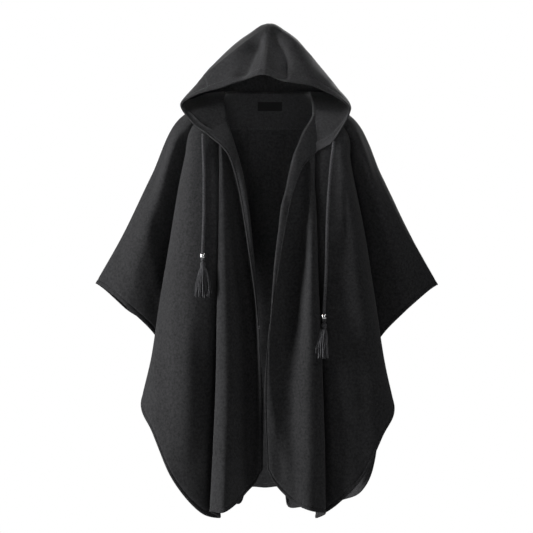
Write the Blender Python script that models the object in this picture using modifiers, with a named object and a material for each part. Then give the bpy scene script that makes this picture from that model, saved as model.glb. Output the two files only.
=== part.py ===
"""Hooded poncho: an open-fronted cape of wool melton with a two-piece hood.

The garment is worn, so its cloth hangs as an open, hollow bell from the neck.
Frame: metres, +Z up, the front faces -Y, and the origin is the point where the
wearer's neck and shoulders carry it, level with the neck seam. Every piece of
cloth is a wall of real thickness. The tables below give sizes in millimetres.
"""

import math
from collections import namedtuple

import bmesh
import bpy
import numpy as np
from mathutils import Vector

MM = 0.001

# Driving dimensions, in millimetres.
CLOTH = 2.4            # wool melton
FACING_CLOTH = 1.4     # lighter cloth of the facing and the casing
LABEL_CLOTH = 0.8
LABEL_GAP = 0.45       # between the label and the facing that it is sewn on
SEAM_GAP = 0.3         # between pieces that are sewn to each other
FACING_SHARE = 0.125   # depth of the back neck facing as a share of the cape's length, 83 mm
CASING_SHARE = 0.36    # width of the drawcord casing as a share of the way to the brow rib, 20 mm
LABEL_SIZE = (58.0, 21.0)
LABEL_CENTRE = (7.0, -30.0)     # x and z on the back neck facing
CORD_DIAMETER = 8.0
BEAD_DIAMETER = 14.5
BEAD_HEIGHT = 10.5
BEAD_MOUTH = 0.8       # height of the bore's mouth, as a share of the bead's half height
KNOT_DIAMETER = 11.0
KNOT_HEIGHT = 8.0
TASSEL_HEAD_DIAMETER = 12.0
TASSEL_HEAD_HEIGHT = 13.0
TASSEL_LENGTH = 85.0
TASSEL_DEPTH = 13.0
TASSEL_WIDTHS = {"right": 38.0, "left": 31.0}
TASSEL_LEANS = {"right": (0.0, -7.0), "left": (-4.0, -16.0)}    # of the strands' ends, in x and y
STRANDS_ROUND = 20     # strands round the edge of a tassel, in each of its two rings
STRAND_GAP = 0.5
STRAND_RADIUS = 2.0
STRAND_UNEVENNESS = 5.0         # the shortest strand falls this far short of the longest
STRAND_BEND = (0.35, 0.5)       # share of the drop, and of the spread reached there
HOOD_SEAM_ALLOWANCE = 1.2       # the hood's neck edge lies this far back from the neck seam
HOOD_SEAM_LIFT = 2.1            # and this far above the cape's neck edge

# Facets.
STEPS_ACROSS = 3       # columns from one fold to the next
CORD_SPACING = 20.0    # between the points of a cord's centre line
STEPS_DOWN = 11        # rows from the back neck facing's hem to the cape's hem
HOOD_STEPS_ALONG = 3   # columns from one hood rib to the next
HOOD_STEPS_UP = 2      # rows from one hood station to the next

# The neck seam of one side, from the shoulder seam forward to the front neck
# point and back to the nape. The two fronts were drawn up unevenly.
NECK_FRONT_RIGHT = ((-100, 0, 0), (-103, -36, -20), (-98, -70, -56), (-110, -90, -86), (-145, -106, -97))
NECK_FRONT_LEFT = ((100, 0, 0), (104, -34, -12), (112, -66, -46), (112, -92, -100), (117, -112, -142))
NECK_BACK_RIGHT = ((-100, 0, 0), (-92, 32, 1), (-68, 57, 2), (-36, 71, 1), (0, 75, 0))
NECK_BACK_LEFT = ((100, 0, 0), (92, 32, 1), (68, 57, 2), (36, 71, 1), (0, 75, 0))

# A fold of the cape is one line of cloth from the neck seam to the hem: its
# share of the way along the neck seam, then the points that it hangs through.
Fold = namedtuple("Fold", "name seam shoulder upper middle lower hem")
STATIONS = (0.0, 0.1, 0.2, 0.45, 0.72, 1.0)

FRONT_RIGHT = (
    Fold("edge", 1.00, (-98, -138, -140), (-78, -150, -188), (-41, -166, -395),
         (-10, -164, -660), (-9, -160, -882)),
    Fold("roll", 0.62, (-78, -114, -122), (-59, -144, -190), (-33, -166, -398),
         (-17, -166, -665), (-22, -164, -908)),
    Fold("under_lapel", 0.55, (-92, -98, -122), (-80, -124, -192), (-46, -150, -400),
         (-36, -162, -672), (-46, -166, -937)),
    Fold("centre_valley", 0.48, (-100, -88, -122), (-93, -112, -192), (-72, -142, -402),
         (-68, -164, -682), (-74, -172, -966)),
    Fold("ridge_2_face", 0.42, (-106, -106, -118), (-102, -134, -186), (-98, -172, -402),
         (-98, -196, -692), (-104, -208, -984)),
    Fold("ridge_2_fold", 0.37, (-113, -100, -118), (-113, -128, -186), (-114, -158, -402),
         (-120, -176, -692), (-134, -182, -981)),
    Fold("valley_2", 0.32, (-110, -84, -116), (-108, -112, -188), (-104, -132, -402),
         (-104, -140, -692), (-109, -142, -998)),
    Fold("panel_inner", 0.27, (-128, -96, -112), (-130, -124, -180), (-134, -150, -396),
         (-142, -160, -690), (-158, -160, -986)),
    Fold("panel_middle", 0.22, (-154, -98, -102), (-160, -128, -170), (-176, -158, -384),
         (-194, -166, -672), (-220, -166, -910)),
    Fold("ridge_1_face", 0.17, (-170, -84, -92), (-182, -112, -162), (-212, -136, -374),
         (-246, -140, -640), (-268, -138, -800)),
    Fold("ridge_1_fold", 0.12, (-176, -62, -82), (-193, -84, -156), (-230, -98, -352),
         (-266, -100, -590), (-296, -96, -736)),
    Fold("valley_1", 0.08, (-164, -44, -68), (-182, -60, -130), (-204, -62, -292),
         (-226, -58, -458), (-250, -46, -600)),
    Fold("sleeve_face", 0.045, (-158, -34, -50), (-198, -52, -92), (-250, -62, -234),
         (-294, -62, -380), (-330, -46, -504)),
    Fold("overarm_front", 0.02, (-156, -20, -34), (-200, -28, -66), (-264, -34, -205),
         (-327, -33, -338), (-382, -24, -463)),
)
OVERARM_RIGHT = Fold("overarm", 0.0, (-154, 0, -28), (-202, 0, -56), (-273, 0, -195),
                     (-338, 0, -330), (-405, 0, -449))
BACK_RIGHT = (
    Fold("overarm_back", 0.04, (-150, 22, -32), (-196, 32, -62), (-263, 42, -202),
         (-326, 42, -336), (-386, 32, -463)),
    Fold("sleeve_back", 0.12, (-142, 46, -42), (-186, 66, -84), (-240, 84, -238),
         (-290, 86, -390), (-338, 72, -508)),
    Fold("sleeve_valley", 0.21, (-134, 62, -52), (-168, 86, -108), (-206, 98, -290),
         (-238, 96, -460), (-262, 82, -574)),
    Fold("ridge_1", 0.32, (-122, 76, -60), (-151, 104, -128), (-194, 140, -348),
         (-230, 158, -580), (-252, 152, -760)),
    Fold("valley_1", 0.44, (-104, 86, -64), (-124, 110, -138), (-152, 124, -376),
         (-172, 136, -645), (-194, 136, -888)),
    Fold("ridge_2", 0.56, (-82, 95, -66), (-98, 121, -140), (-118, 162, -388),
         (-134, 184, -680), (-146, 192, -948)),
    Fold("valley_2", 0.69, (-58, 101, -66), (-68, 122, -140), (-82, 140, -390),
         (-90, 152, -682), (-94, 154, -968)),
    Fold("ridge_3", 0.83, (-34, 105, -66), (-38, 128, -140), (-46, 160, -390),
         (-52, 176, -682), (-62, 184, -974)),
    Fold("pleat", 0.92, (-18, 106, -66), (-20, 127, -140), (-26, 150, -390),
         (-34, 162, -680), (-46, 164, -938)),
)
BACK_CENTRE = (
    Fold("centre", 1.00, (0, 106, -66), (0, 127, -140), (-2, 146, -388), (-4, 158, -675), (-4, 162, -937)),
)
BACK_LEFT = (
    Fold("pleat", 0.92, (18, 106, -66), (20, 127, -140), (26, 150, -390), (32, 162, -680), (38, 164, -938)),
    Fold("ridge_3", 0.83, (34, 105, -66), (38, 128, -140), (46, 160, -390),
         (52, 178, -684), (48, 186, -981)),
    Fold("valley_2", 0.69, (58, 101, -66), (68, 122, -140), (84, 140, -390),
         (96, 158, -684), (92, 172, -982)),
    Fold("ridge_2", 0.56, (82, 95, -66), (98, 121, -140), (120, 162, -388),
         (150, 182, -680), (184, 186, -966)),
    Fold("valley_1", 0.44, (104, 86, -64), (124, 110, -138), (152, 124, -376),
         (186, 136, -662), (229, 138, -941)),
    Fold("ridge_1", 0.32, (122, 76, -60), (151, 104, -128), (194, 140, -352),
         (234, 156, -622), (259, 146, -862)),
    Fold("sleeve_valley", 0.21, (134, 62, -52), (168, 86, -108), (206, 98, -290),
         (238, 96, -460), (262, 80, -574)),
    Fold("sleeve_back", 0.12, (142, 46, -42), (186, 66, -84), (240, 84, -238),
         (288, 86, -390), (330, 70, -514)),
    Fold("overarm_back", 0.04, (150, 22, -32), (196, 32, -62), (263, 42, -202),
         (326, 42, -338), (384, 32, -466)),
)
OVERARM_LEFT = Fold("overarm", 0.0, (154, 0, -28), (202, 0, -58), (272, 0, -197),
                    (338, 0, -334), (404, 0, -452))
FRONT_LEFT = (
    Fold("overarm_front", 0.02, (156, -20, -34), (200, -28, -68), (263, -34, -207),
         (326, -33, -342), (382, -24, -466)),
    Fold("sleeve_face", 0.045, (158, -34, -52), (198, -52, -94), (250, -62, -236),
         (294, -62, -384), (334, -46, -506)),
    Fold("valley_1", 0.08, (168, -46, -72), (184, -60, -132), (208, -62, -298),
         (230, -58, -466), (254, -46, -606)),
    Fold("ridge_1_fold", 0.12, (186, -64, -92), (196, -84, -158), (234, -98, -360),
         (271, -100, -604), (300, -96, -742)),
    Fold("ridge_1_face", 0.17, (174, -86, -100), (184, -112, -164), (214, -136, -378),
         (248, -140, -648), (272, -138, -806)),
    Fold("panel_middle", 0.22, (156, -98, -108), (162, -128, -172), (180, -158, -388),
         (202, -166, -672), (228, -166, -898)),
    Fold("panel_inner", 0.26, (130, -98, -116), (133, -126, -182), (143, -152, -398),
         (156, -162, -690), (168, -164, -964)),
    Fold("valley_2", 0.30, (112, -88, -120), (112, -112, -190), (112, -132, -402),
         (118, -138, -692), (116, -140, -998)),
    Fold("ridge_2_fold", 0.34, (110, -104, -122), (112, -130, -190), (118, -158, -402),
         (128, -172, -692), (138, -182, -986)),
    Fold("ridge_2_face", 0.38, (100, -110, -122), (101, -138, -192), (98, -172, -402),
         (98, -190, -692), (104, -204, -980)),
    Fold("centre_valley", 0.42, (94, -98, -124), (84, -122, -204), (62, -148, -404),
         (52, -186, -684), (66, -196, -964)),
    Fold("under_lapel", 0.46, (86, -104, -126), (68, -132, -208), (36, -158, -404),
         (26, -186, -674), (38, -190, -940)),
    Fold("roll", 0.50, (76, -116, -118), (50, -154, -205), (20, -178, -402),
         (6, -190, -668), (16, -188, -914)),
    Fold("edge", 1.00, (86, -140, -176), (66, -160, -222), (29, -180, -404),
         (-5, -190, -664), (2, -186, -884)),
)

# A rib of the hood runs from the neck seam, out over the shoulder, round the
# lobe and up to the centre seam. The first rib is the back seam and the last
# is the face edge. neck is its share of the way from front neck point to nape.
Rib = namedtuple("Rib", "name neck low lobe side cheek crown top")
HOOD_RIGHT = (
    Rib("back_seam", 1.00, (0, 104, 0), (0, 136, 6), (0, 150, 28),
        (0, 148, 58), (0, 136, 86), (0, 116, 108)),
    Rib("rear", 0.78, (-116, 62, 2), (-160, 78, -12), (-146, 84, 28),
        (-104, 86, 76), (-52, 86, 116), (4, 82, 134)),
    Rib("peak", 0.56, (-146, -4, -8), (-194, -6, -20), (-166, -10, 20),
        (-112, -14, 80), (-50, -18, 136), (6, -20, 164)),
    Rib("brow", 0.34, (-160, -72, -42), (-204, -52, -28), (-170, -66, 10),
        (-116, -80, 50), (-58, -90, 90), (-5, -96, 110)),
    Rib("face_edge", 0.00, (-177, -100, -72), (-203, -84, -30), (-164, -104, -3),
        (-106, -128, 12), (-62, -142, 28), (-12, -154, 41)),
)
HOOD_LEFT = (
    Rib("back_seam", 1.00, (0, 104, 0), (0, 136, 6), (0, 150, 28),
        (0, 148, 58), (0, 136, 86), (0, 116, 108)),
    Rib("rear", 0.78, (116, 62, 2), (158, 78, -12), (144, 84, 26),
        (104, 86, 74), (56, 86, 114), (4, 82, 134)),
    Rib("peak", 0.56, (144, -4, -8), (189, -6, -20), (160, -10, 18),
        (108, -14, 76), (60, -18, 130), (6, -20, 164)),
    Rib("brow", 0.34, (156, -72, -58), (197, -52, -36), (166, -66, 6),
        (116, -80, 46), (60, -90, 88), (-5, -96, 110)),
    Rib("face_edge", 0.00, (158, -106, -114), (195, -86, -46), (172, -102, -15),
        (112, -126, 12), (52, -144, 24), (-12, -154, 41)),
)

# Soft troughs and ridges that run down the front of the hood from its peak, as
# seen from the front: start and end in x and z, half width, and height out.
Crease = namedtuple("Crease", "start end half_width height")
CREASE_WAY = np.array((0.0, -0.75, 0.66))
HOOD_CREASES = (
    Crease((-4, 138), (-54, 44), 24, -13),
    Crease((24, 112), (34, 34), 15, -13),
    Crease((20, 140), (54, 42), 13, 7),
    Crease((-20, 142), (-128, 50), 13, 7),
)

# Drawcord routes, from the casing to the bead, chosen by hand.
CORD_RIGHT = (
    (-150, -109, -99), (-150, -111, -106), (-149.5, -116, -119), (-149, -122, -137), (-148, -130, -162),
    (-147, -139, -194), (-147, -148, -232), (-147, -154, -272), (-148, -158, -312), (-149, -162, -350),
    (-150, -163, -370), (-150, -163, -389),
)
CORD_LEFT = (
    (156.5, -109, -117.5), (156, -112, -125), (154.5, -118, -138), (152, -126, -157), (149, -138, -184),
    (146, -146, -220), (143, -151, -262), (141, -155, -308), (140, -158, -354), (139, -161, -400),
    (137, -165, -446), (134, -169, -494), (133, -170, -512), (133, -170, -531),
)


def smooth(knots, values, places):
    """Smooth curves through values at knots, read at places along the first axis."""
    knots = np.asarray(knots, float)
    values = np.asarray(values, float)
    slopes = np.gradient(values, knots, axis=0)
    places = np.asarray(places, float)
    span = np.clip(np.searchsorted(knots, places, side="right") - 1, 0, len(knots) - 2)
    width = knots[span + 1] - knots[span]
    t = (places - knots[span]) / width
    shape = (len(places),) + (1,) * (values.ndim - 1)
    t, width = t.reshape(shape), width.reshape(shape)
    return (
        (2 * t**3 - 3 * t**2 + 1) * values[span]
        + (t**3 - 2 * t**2 + t) * width * slopes[span]
        + (3 * t**2 - 2 * t**3) * values[span + 1]
        + (t**3 - t**2) * width * slopes[span + 1]
    )


def run_along(points, shares):
    """Points at shares of the way along the smooth curve through points."""
    steps = np.linspace(0, len(points) - 1, 241)
    dense = smooth(range(len(points)), points, steps)
    run = np.concatenate(([0], np.cumsum(np.linalg.norm(np.diff(dense, axis=0), axis=1))))
    return smooth(range(len(points)), points, np.interp(np.asarray(shares) * run[-1], run, steps))


def between(knots, steps):
    """Places that divide each span between knots into the same number of steps."""
    places = [np.linspace(a, b, steps, endpoint=False) for a, b in zip(knots, knots[1:])]
    return np.concatenate(places + [[knots[-1]]])


def normals_of(surface, across, down):
    """Unit normals of surface(across, down) by small differences, facing out."""
    step = 1e-3
    ahead, behind = np.minimum(across + step, across[-1]), np.maximum(across - step, across[0])
    below, above = np.minimum(down + step, down[-1]), np.maximum(down - step, down[0])
    along = surface(ahead, down) - surface(behind, down)
    fall = surface(across, below) - surface(across, above)
    normal = np.cross(along, fall)
    return normal / np.maximum(np.linalg.norm(normal, axis=2, keepdims=True), 1e-12)


class Cape:
    """The whole cape as one smooth surface, round from front edge to front edge."""

    def __init__(self):
        sides = (
            (FRONT_RIGHT, NECK_FRONT_RIGHT),
            ((OVERARM_RIGHT,), NECK_FRONT_RIGHT),
            (BACK_RIGHT + BACK_CENTRE, NECK_BACK_RIGHT),
            (BACK_LEFT, NECK_BACK_LEFT),
            ((OVERARM_LEFT,), NECK_FRONT_LEFT),
            (FRONT_LEFT, NECK_FRONT_LEFT),
        )
        lines = []
        for folds, seam in sides:
            necks = run_along(seam, [fold.seam for fold in folds])
            lines += [[neck, *fold[2:]] for neck, fold in zip(necks, folds)]
        self.lines = np.array(lines, float)
        gaps = np.linalg.norm(np.diff(self.lines[:, 1:], axis=0), axis=2).mean(axis=1)
        self.knots = np.concatenate(([0], np.cumsum(np.sqrt(gaps))))
        self.right_seam = len(FRONT_RIGHT)
        self.left_seam = len(self.lines) - 1 - len(FRONT_LEFT)

    def surface(self, across, down):
        hanging = smooth(STATIONS, self.lines.transpose(1, 0, 2), down)
        return smooth(self.knots, hanging.transpose(1, 0, 2), across)

    def part(self, first, last, steps):
        """Points and normals of the columns from fold first to fold last."""
        across = between(self.knots[first:last + 1], steps)
        down = np.concatenate(((0, FACING_SHARE / 2), np.linspace(FACING_SHARE, 1, STEPS_DOWN + 1)))
        everywhere = np.concatenate(([self.knots[0]], across, [self.knots[-1]]))
        normals = normals_of(self.surface, everywhere, down)[1:-1]
        return self.surface(across, down), normals


class Hood:
    """The whole hood as one smooth surface, from the right neck seam over the top to the left."""

    def __init__(self):
        right = self.ribs(HOOD_RIGHT, NECK_FRONT_RIGHT, NECK_BACK_RIGHT)
        left = self.ribs(HOOD_LEFT, NECK_FRONT_LEFT, NECK_BACK_LEFT)
        self.lines = np.concatenate((right, left[:, -2::-1]), axis=1)
        self.knots = np.arange(len(HOOD_RIGHT), dtype=float)
        self.top = right.shape[1] - 1

    @staticmethod
    def ribs(rows, neck_front, neck_back):
        seam = np.array(neck_front[::-1] + neck_back[1:], float)
        necks = run_along(seam, [rib.neck for rib in rows])
        return np.array([[neck, *rib[2:]] for neck, rib in zip(necks, rows)], float)

    def plain(self, along, up):
        arched = smooth(range(self.lines.shape[1]), self.lines.transpose(1, 0, 2), up)
        return smooth(self.knots, arched.transpose(1, 0, 2), along)

    def surface(self, along, up):
        points = self.plain(along, up)
        return points + creases(points, HOOD_CREASES)[..., None] * CREASE_WAY

    def half(self, right):
        """Points and normals of one half, with rows from its neck seam to the centre seam."""
        ups = np.linspace(0, self.top, self.top * HOOD_STEPS_UP + 1)
        if not right:
            ups = 2 * self.top - ups[::-1]
        along = between(self.knots, HOOD_STEPS_ALONG)
        along[-3:-1] = along[-1] - np.array((CASING_SHARE, CASING_SHARE / 2))
        everywhere = np.concatenate(([0], ups, [2 * self.top]))
        normals = normals_of(self.surface, along, everywhere)[:, 1:-1]
        corner, beside = (-1, -2) if right else (0, 1)
        normals[0, corner] = normals[0, beside]
        normals[0, :, 0] = 0
        normals[0] /= np.linalg.norm(normals[0], axis=1, keepdims=True)
        return self.surface(along, ups), normals


def creases(points, table):
    """How far each point stands out, from the creases near it on the front."""
    total = np.zeros(points.shape[:-1])
    flat = points[..., (0, 2)]
    for crease in table:
        start, end = np.array(crease.start, float), np.array(crease.end, float)
        line = end - start
        share = np.clip(((flat - start) @ line) / (line @ line), 0, 1)
        away = np.linalg.norm(flat - start - share[..., None] * line, axis=-1)
        bump = np.exp(-((away / crease.half_width) ** 2))
        total += crease.height * bump * np.minimum(1, share * 3 + 0.15)
    front = np.clip(0.5 - points[..., 1] / 40, 0, 1)
    return total * front * front * (3 - 2 * front)


def add_material(name, color, roughness, metallic=0.0):
    material = bpy.data.materials.new(name)
    material.use_nodes = True
    shader = material.node_tree.nodes["Principled BSDF"]
    shader.inputs["Base Color"].default_value = (*color, 1.0)
    shader.inputs["Roughness"].default_value = roughness
    shader.inputs["Metallic"].default_value = metallic
    return material


def add_object(name, mesh, material):
    mesh.materials.append(material)
    part = bpy.data.objects.new(name, mesh)
    collection.objects.link(part)
    return part


def wall(name, outer, inner, material):
    """A closed wall of cloth between two grids of points, in millimetres."""
    columns, rows = outer.shape[:2]
    size = columns * rows
    points = np.concatenate((outer.reshape(-1, 3), inner.reshape(-1, 3))) * MM
    at = np.arange(size).reshape(columns, rows)
    faces = []
    for c in range(columns - 1):
        for r in range(rows - 1):
            for face in (
                (at[c, r], at[c + 1, r], at[c + 1, r + 1]),
                (at[c, r], at[c + 1, r + 1], at[c, r + 1]),
            ):
                faces += [face, [i + size for i in face[::-1]]]
    rim = [*at[:-1, 0], *at[-1, :-1], *at[:0:-1, -1], *at[0, :0:-1]]
    for a, b in zip(rim, rim[1:] + rim[:1]):
        faces.append([b, a, a + size, b + size])
    mesh = bpy.data.meshes.new(name)
    mesh.from_pydata([tuple(p) for p in points], [], [[int(i) for i in f] for f in faces])
    mesh.update()
    mesh.shade_smooth()
    mesh.set_sharp_from_angle(angle=math.radians(50))
    return add_object(name, mesh, material)


def pull_back(grid, first=False, last=False, axis=0, gap=SEAM_GAP / 2):
    """Draws the first or last line of a grid back along the cloth, to leave a gap."""
    moved = np.moveaxis(grid.copy(), axis, 0)
    for is_wanted, end, inside in ((first, 0, 1), (last, -1, -2)):
        if is_wanted:
            way = moved[inside] - moved[end]
            moved[end] += way / np.linalg.norm(way, axis=1, keepdims=True) * gap
    return np.moveaxis(moved, 0, axis)


def build_cape(cape, wool):
    """The two fronts and the back, sewn over the arms. Gives the inner face of the back."""
    last = len(cape.lines) - 1
    spans = (
        ("front_right", 0, cape.right_seam),
        ("front_left", cape.left_seam, last),
        ("back_panel", cape.right_seam, cape.left_seam),
    )
    for name, first, end in spans:
        points, normals = cape.part(first, end, STEPS_ACROSS)
        sewn = {"first": first > 0, "last": end < last}
        outer = pull_back(points, **sewn)
        inner = pull_back(points - normals * CLOTH, **sewn)
        wall(name, outer, inner, wool)
    return inner, normals


def build_back_facing(inner, normals, cloth):
    """The facing inside the back neck, between the shoulder seams."""
    inner, normals = (grid[2:-2, :3] for grid in (inner, normals))
    face = inner - normals * SEAM_GAP
    back = face - normals * FACING_CLOTH
    return wall("back_neck_facing", face, back, cloth)


def build_label(facing, cloth):
    """A blank woven label that follows the facing."""
    columns = np.linspace(-0.5, 0.5, 7) * LABEL_SIZE[0] + LABEL_CENTRE[0]
    rows = np.linspace(0.5, -0.5, 4) * LABEL_SIZE[1] + LABEL_CENTRE[1]
    back = np.empty((len(columns), len(rows), 3))
    for c, x in enumerate(columns):
        for r, z in enumerate(rows):
            hit, place, _, _ = facing.ray_cast(Vector((x * MM, 0, z * MM)), Vector((0, 1, 0)))
            assert hit, "the label reaches past the facing"
            back[c, r] = Vector(place) / MM
    back[..., 1] -= LABEL_GAP
    wall("neck_label", back, back - (0, LABEL_CLOTH, 0), cloth)


def build_hood(hood, wool, cloth):
    """Two hood halves joined along the centre seam, with a drawcord casing inside each face edge."""
    for side, right in (("right", True), ("left", False)):
        points, normals = hood.half(right)
        face_depth = CLOTH + SEAM_GAP
        depths = (0, CLOTH, face_depth, face_depth + FACING_CLOTH)
        layers = [points - normals * depth for depth in depths]
        outer, inner, face, back = (seat_on_neck(layer, right) for layer in layers)
        wall("hood_" + side, outer, inner, wool)
        wall("hood_casing_" + side, face[-3:], back[-3:], cloth)


def seat_on_neck(grid, right):
    """Leaves the seam gap at the neck seam, the centre seam and the back seam."""
    grid = pull_back(grid, first=not right, last=right, axis=1)
    grid[0, :, 0] += (-1 if right else 1) * SEAM_GAP / 2
    grid = pull_back(grid, first=right, last=not right, axis=1, gap=HOOD_SEAM_ALLOWANCE)
    neck = 0 if right else -1
    grid[:, neck, 2] += HOOD_SEAM_LIFT
    return grid


def route(points, spacing):
    """Points about spacing apart on the smooth curve through a cord's own points."""
    length = sum(math.dist(a, b) for a, b in zip(points, points[1:]))
    return run_along(points, np.linspace(0, 1, round(length / spacing) + 1))


def build_cord(name, points, material):
    """A round cord through the points, as a curve with filled ends."""
    curve = bpy.data.curves.new(name, "CURVE")
    curve.dimensions = "3D"
    curve.bevel_depth = CORD_DIAMETER / 2 * MM
    curve.bevel_resolution = 2
    curve.use_fill_caps = True
    line = curve.splines.new("POLY")
    line.points.add(len(points) - 1)
    for at, point in zip(line.points, points):
        at.co = (*(Vector(point) * MM), 1)
    return add_object(name, curve, material)


def build_bead(name, place, material):
    """An oblate metal bead with a bore that the cord passes through."""
    bore = (CORD_DIAMETER / 2 + SEAM_GAP) * MM
    bulge = BEAD_DIAMETER / 2 * MM - bore
    half_height = BEAD_HEIGHT / 2 * MM
    mesh = bpy.data.meshes.new(name)
    shape = bmesh.new()
    rim = [shape.verts.new((bore, 0, half_height * BEAD_MOUTH))]
    steepest = math.radians(65)
    for angle in np.linspace(steepest, -steepest, 7):
        height = half_height * math.sin(angle) / math.sin(steepest)
        rim.append(shape.verts.new((bore + bulge * math.cos(angle), 0, height)))
    rim.append(shape.verts.new((bore, 0, -half_height * BEAD_MOUTH)))
    for a, b in zip(rim, rim[1:] + rim[:1]):
        shape.edges.new((a, b))
    shape.to_mesh(mesh)
    shape.free()
    bead = add_object(name, mesh, material)
    bead.location = Vector(place) * MM
    turned = bead.modifiers.new("turned", "SCREW")
    turned.steps = turned.render_steps = 20
    turned.use_merge_vertices = True
    turned.merge_threshold = 0.00001
    return bead


def build_knot(name, place, material):
    """The small knot that stops the bead."""
    mesh = bpy.data.meshes.new(name)
    shape = bmesh.new()
    bmesh.ops.create_uvsphere(shape, u_segments=12, v_segments=7, radius=0.5 * MM)
    bmesh.ops.scale(shape, vec=(KNOT_DIAMETER, KNOT_DIAMETER, KNOT_HEIGHT), verts=shape.verts)
    shape.to_mesh(mesh)
    shape.free()
    knot = add_object(name, mesh, material)
    knot.location = Vector(place) * MM
    return knot


def build_tassel(name, top, width, lean, material, seed):
    """A wound head with strands that stand apart below it. top is the middle of its upper face."""
    draws = np.random.default_rng(seed)
    radii = np.array((0.32, 0.66, 1.0)) * TASSEL_HEAD_DIAMETER / 2
    turns = [math.tau * i / STRANDS_ROUND for i in range(STRANDS_ROUND)]
    shape = bmesh.new()

    def ring(radius, height):
        return [shape.verts.new((radius * math.cos(a), radius * math.sin(a), height)) for a in turns]

    def band(upper, lower):
        quads = zip(upper, lower, lower[1:] + lower[:1], upper[1:] + upper[:1])
        return [shape.faces.new(quad) for quad in quads]

    levels = ((0.55, 0.0), (0.92, -0.2), (0.78, -0.55), (1.0, -1.0))
    rings = [ring(share * TASSEL_HEAD_DIAMETER / 2, down * TASSEL_HEAD_HEIGHT) for share, down in levels]
    shape.faces.new(rings[0])
    for upper, lower in zip(rings, rings[1:]):
        band(upper, lower)
    floor = [rings[-1]] + [ring(radius, -TASSEL_HEAD_HEIGHT) for radius in radii[1::-1]]
    roots = [face for outer, inside in zip(floor, floor[1:]) for face in band(outer, inside)]
    roots.append(shape.faces.new(floor[-1][::-1]))
    shape.normal_update()
    bmesh.ops.inset_individual(shape, faces=roots, thickness=STRAND_GAP / 2)
    for face in roots:
        root = face.calc_center_median()
        drop = TASSEL_LENGTH - TASSEL_HEAD_HEIGHT - draws.uniform(0, STRAND_UNEVENNESS)
        spread = Vector((
            root.x / radii[-1] * (width / 2 - STRAND_RADIUS) + lean[0],
            root.y / radii[-1] * TASSEL_DEPTH / 2 + lean[1],
            0,
        ))
        for share, reach in (STRAND_BEND, (1.0, 1.0)):
            face = bmesh.ops.extrude_discrete_faces(shape, faces=[face])["faces"][0]
            centre = root.lerp(spread, reach)
            centre.z = -TASSEL_HEAD_HEIGHT - drop * share
            bmesh.ops.translate(shape, verts=face.verts, vec=centre - face.calc_center_median())
    mesh = bpy.data.meshes.new(name)
    bmesh.ops.scale(shape, vec=(MM, MM, MM), verts=shape.verts)
    shape.to_mesh(mesh)
    shape.free()
    tassel = add_object(name, mesh, material)
    tassel.location = Vector(top) * MM
    return tassel


def build_drawcord(side, points, seed):
    """A drawcord with the bead, knot and tassel on its end."""
    end = np.array(points[-1], float)
    build_cord("drawcord_" + side, route(points, CORD_SPACING), cord_yarn)
    build_bead("bead_" + side, end + (0, 0, BEAD_HEIGHT / 2 - 0.5), bead_metal)
    knot = end - (0, 0, SEAM_GAP + KNOT_HEIGHT / 2)
    build_knot("knot_" + side, knot, cord_yarn)
    top = knot - (0, 0, SEAM_GAP + KNOT_HEIGHT / 2)
    build_tassel("tassel_" + side, top, TASSEL_WIDTHS[side], TASSEL_LEANS[side], tassel_yarn, seed)


for leftover in list(bpy.data.objects):
    bpy.data.objects.remove(leftover)
collection = bpy.data.collections.new("hooded_poncho")
bpy.context.scene.collection.children.link(collection)

wool_cloth = add_material("wool_melton", (0.03, 0.03, 0.032), 0.9)
facing_cloth = add_material("facing_cloth", (0.022, 0.022, 0.024), 0.85)
label_cloth = add_material("label_cloth", (0.012, 0.012, 0.013), 0.7)
cord_yarn = add_material("cord_yarn", (0.02, 0.02, 0.022), 0.7)
tassel_yarn = add_material("tassel_yarn", (0.03, 0.03, 0.034), 0.7)
bead_metal = add_material("bead_metal", (0.8, 0.8, 0.8), 0.2, 1.0)

cape_surface = Cape()
hood_surface = Hood()
back_inner, back_normals = build_cape(cape_surface, wool_cloth)
back_facing = build_back_facing(back_inner, back_normals, facing_cloth)
build_label(back_facing, label_cloth)
build_hood(hood_surface, wool_cloth, facing_cloth)
for seed, (side, points) in enumerate((("right", CORD_RIGHT), ("left", CORD_LEFT))):
    build_drawcord(side, points, seed)
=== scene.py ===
"""The look of a hooded poncho in charcoal wool melton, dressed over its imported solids.

Each piece of cloth is a thin shell on its solid's own form, with finer folds, turned
edges and stitching. The tables repeat the construction's lines of cloth, with deeper
and narrower valleys in the fronts. They are in millimetres: x runs to the left as worn, the
front faces -y, z is up, and the origin is midway between the neck seam's shoulder ends.
"""

import math
from collections import namedtuple

import bmesh
import bpy
import numpy as np
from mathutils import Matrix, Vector


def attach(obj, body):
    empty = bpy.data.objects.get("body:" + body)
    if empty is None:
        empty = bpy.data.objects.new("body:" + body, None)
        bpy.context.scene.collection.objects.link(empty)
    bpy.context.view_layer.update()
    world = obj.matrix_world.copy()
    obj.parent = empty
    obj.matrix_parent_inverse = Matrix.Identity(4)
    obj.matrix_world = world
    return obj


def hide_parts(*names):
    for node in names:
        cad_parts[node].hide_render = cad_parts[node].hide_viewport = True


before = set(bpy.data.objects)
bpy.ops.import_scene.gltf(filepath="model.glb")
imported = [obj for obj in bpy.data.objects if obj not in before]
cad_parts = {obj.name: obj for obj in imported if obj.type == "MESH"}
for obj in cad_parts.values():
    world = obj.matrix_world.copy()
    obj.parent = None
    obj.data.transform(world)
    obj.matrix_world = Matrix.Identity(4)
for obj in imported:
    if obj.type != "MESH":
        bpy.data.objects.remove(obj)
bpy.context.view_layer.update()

MM = 0.001

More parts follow.
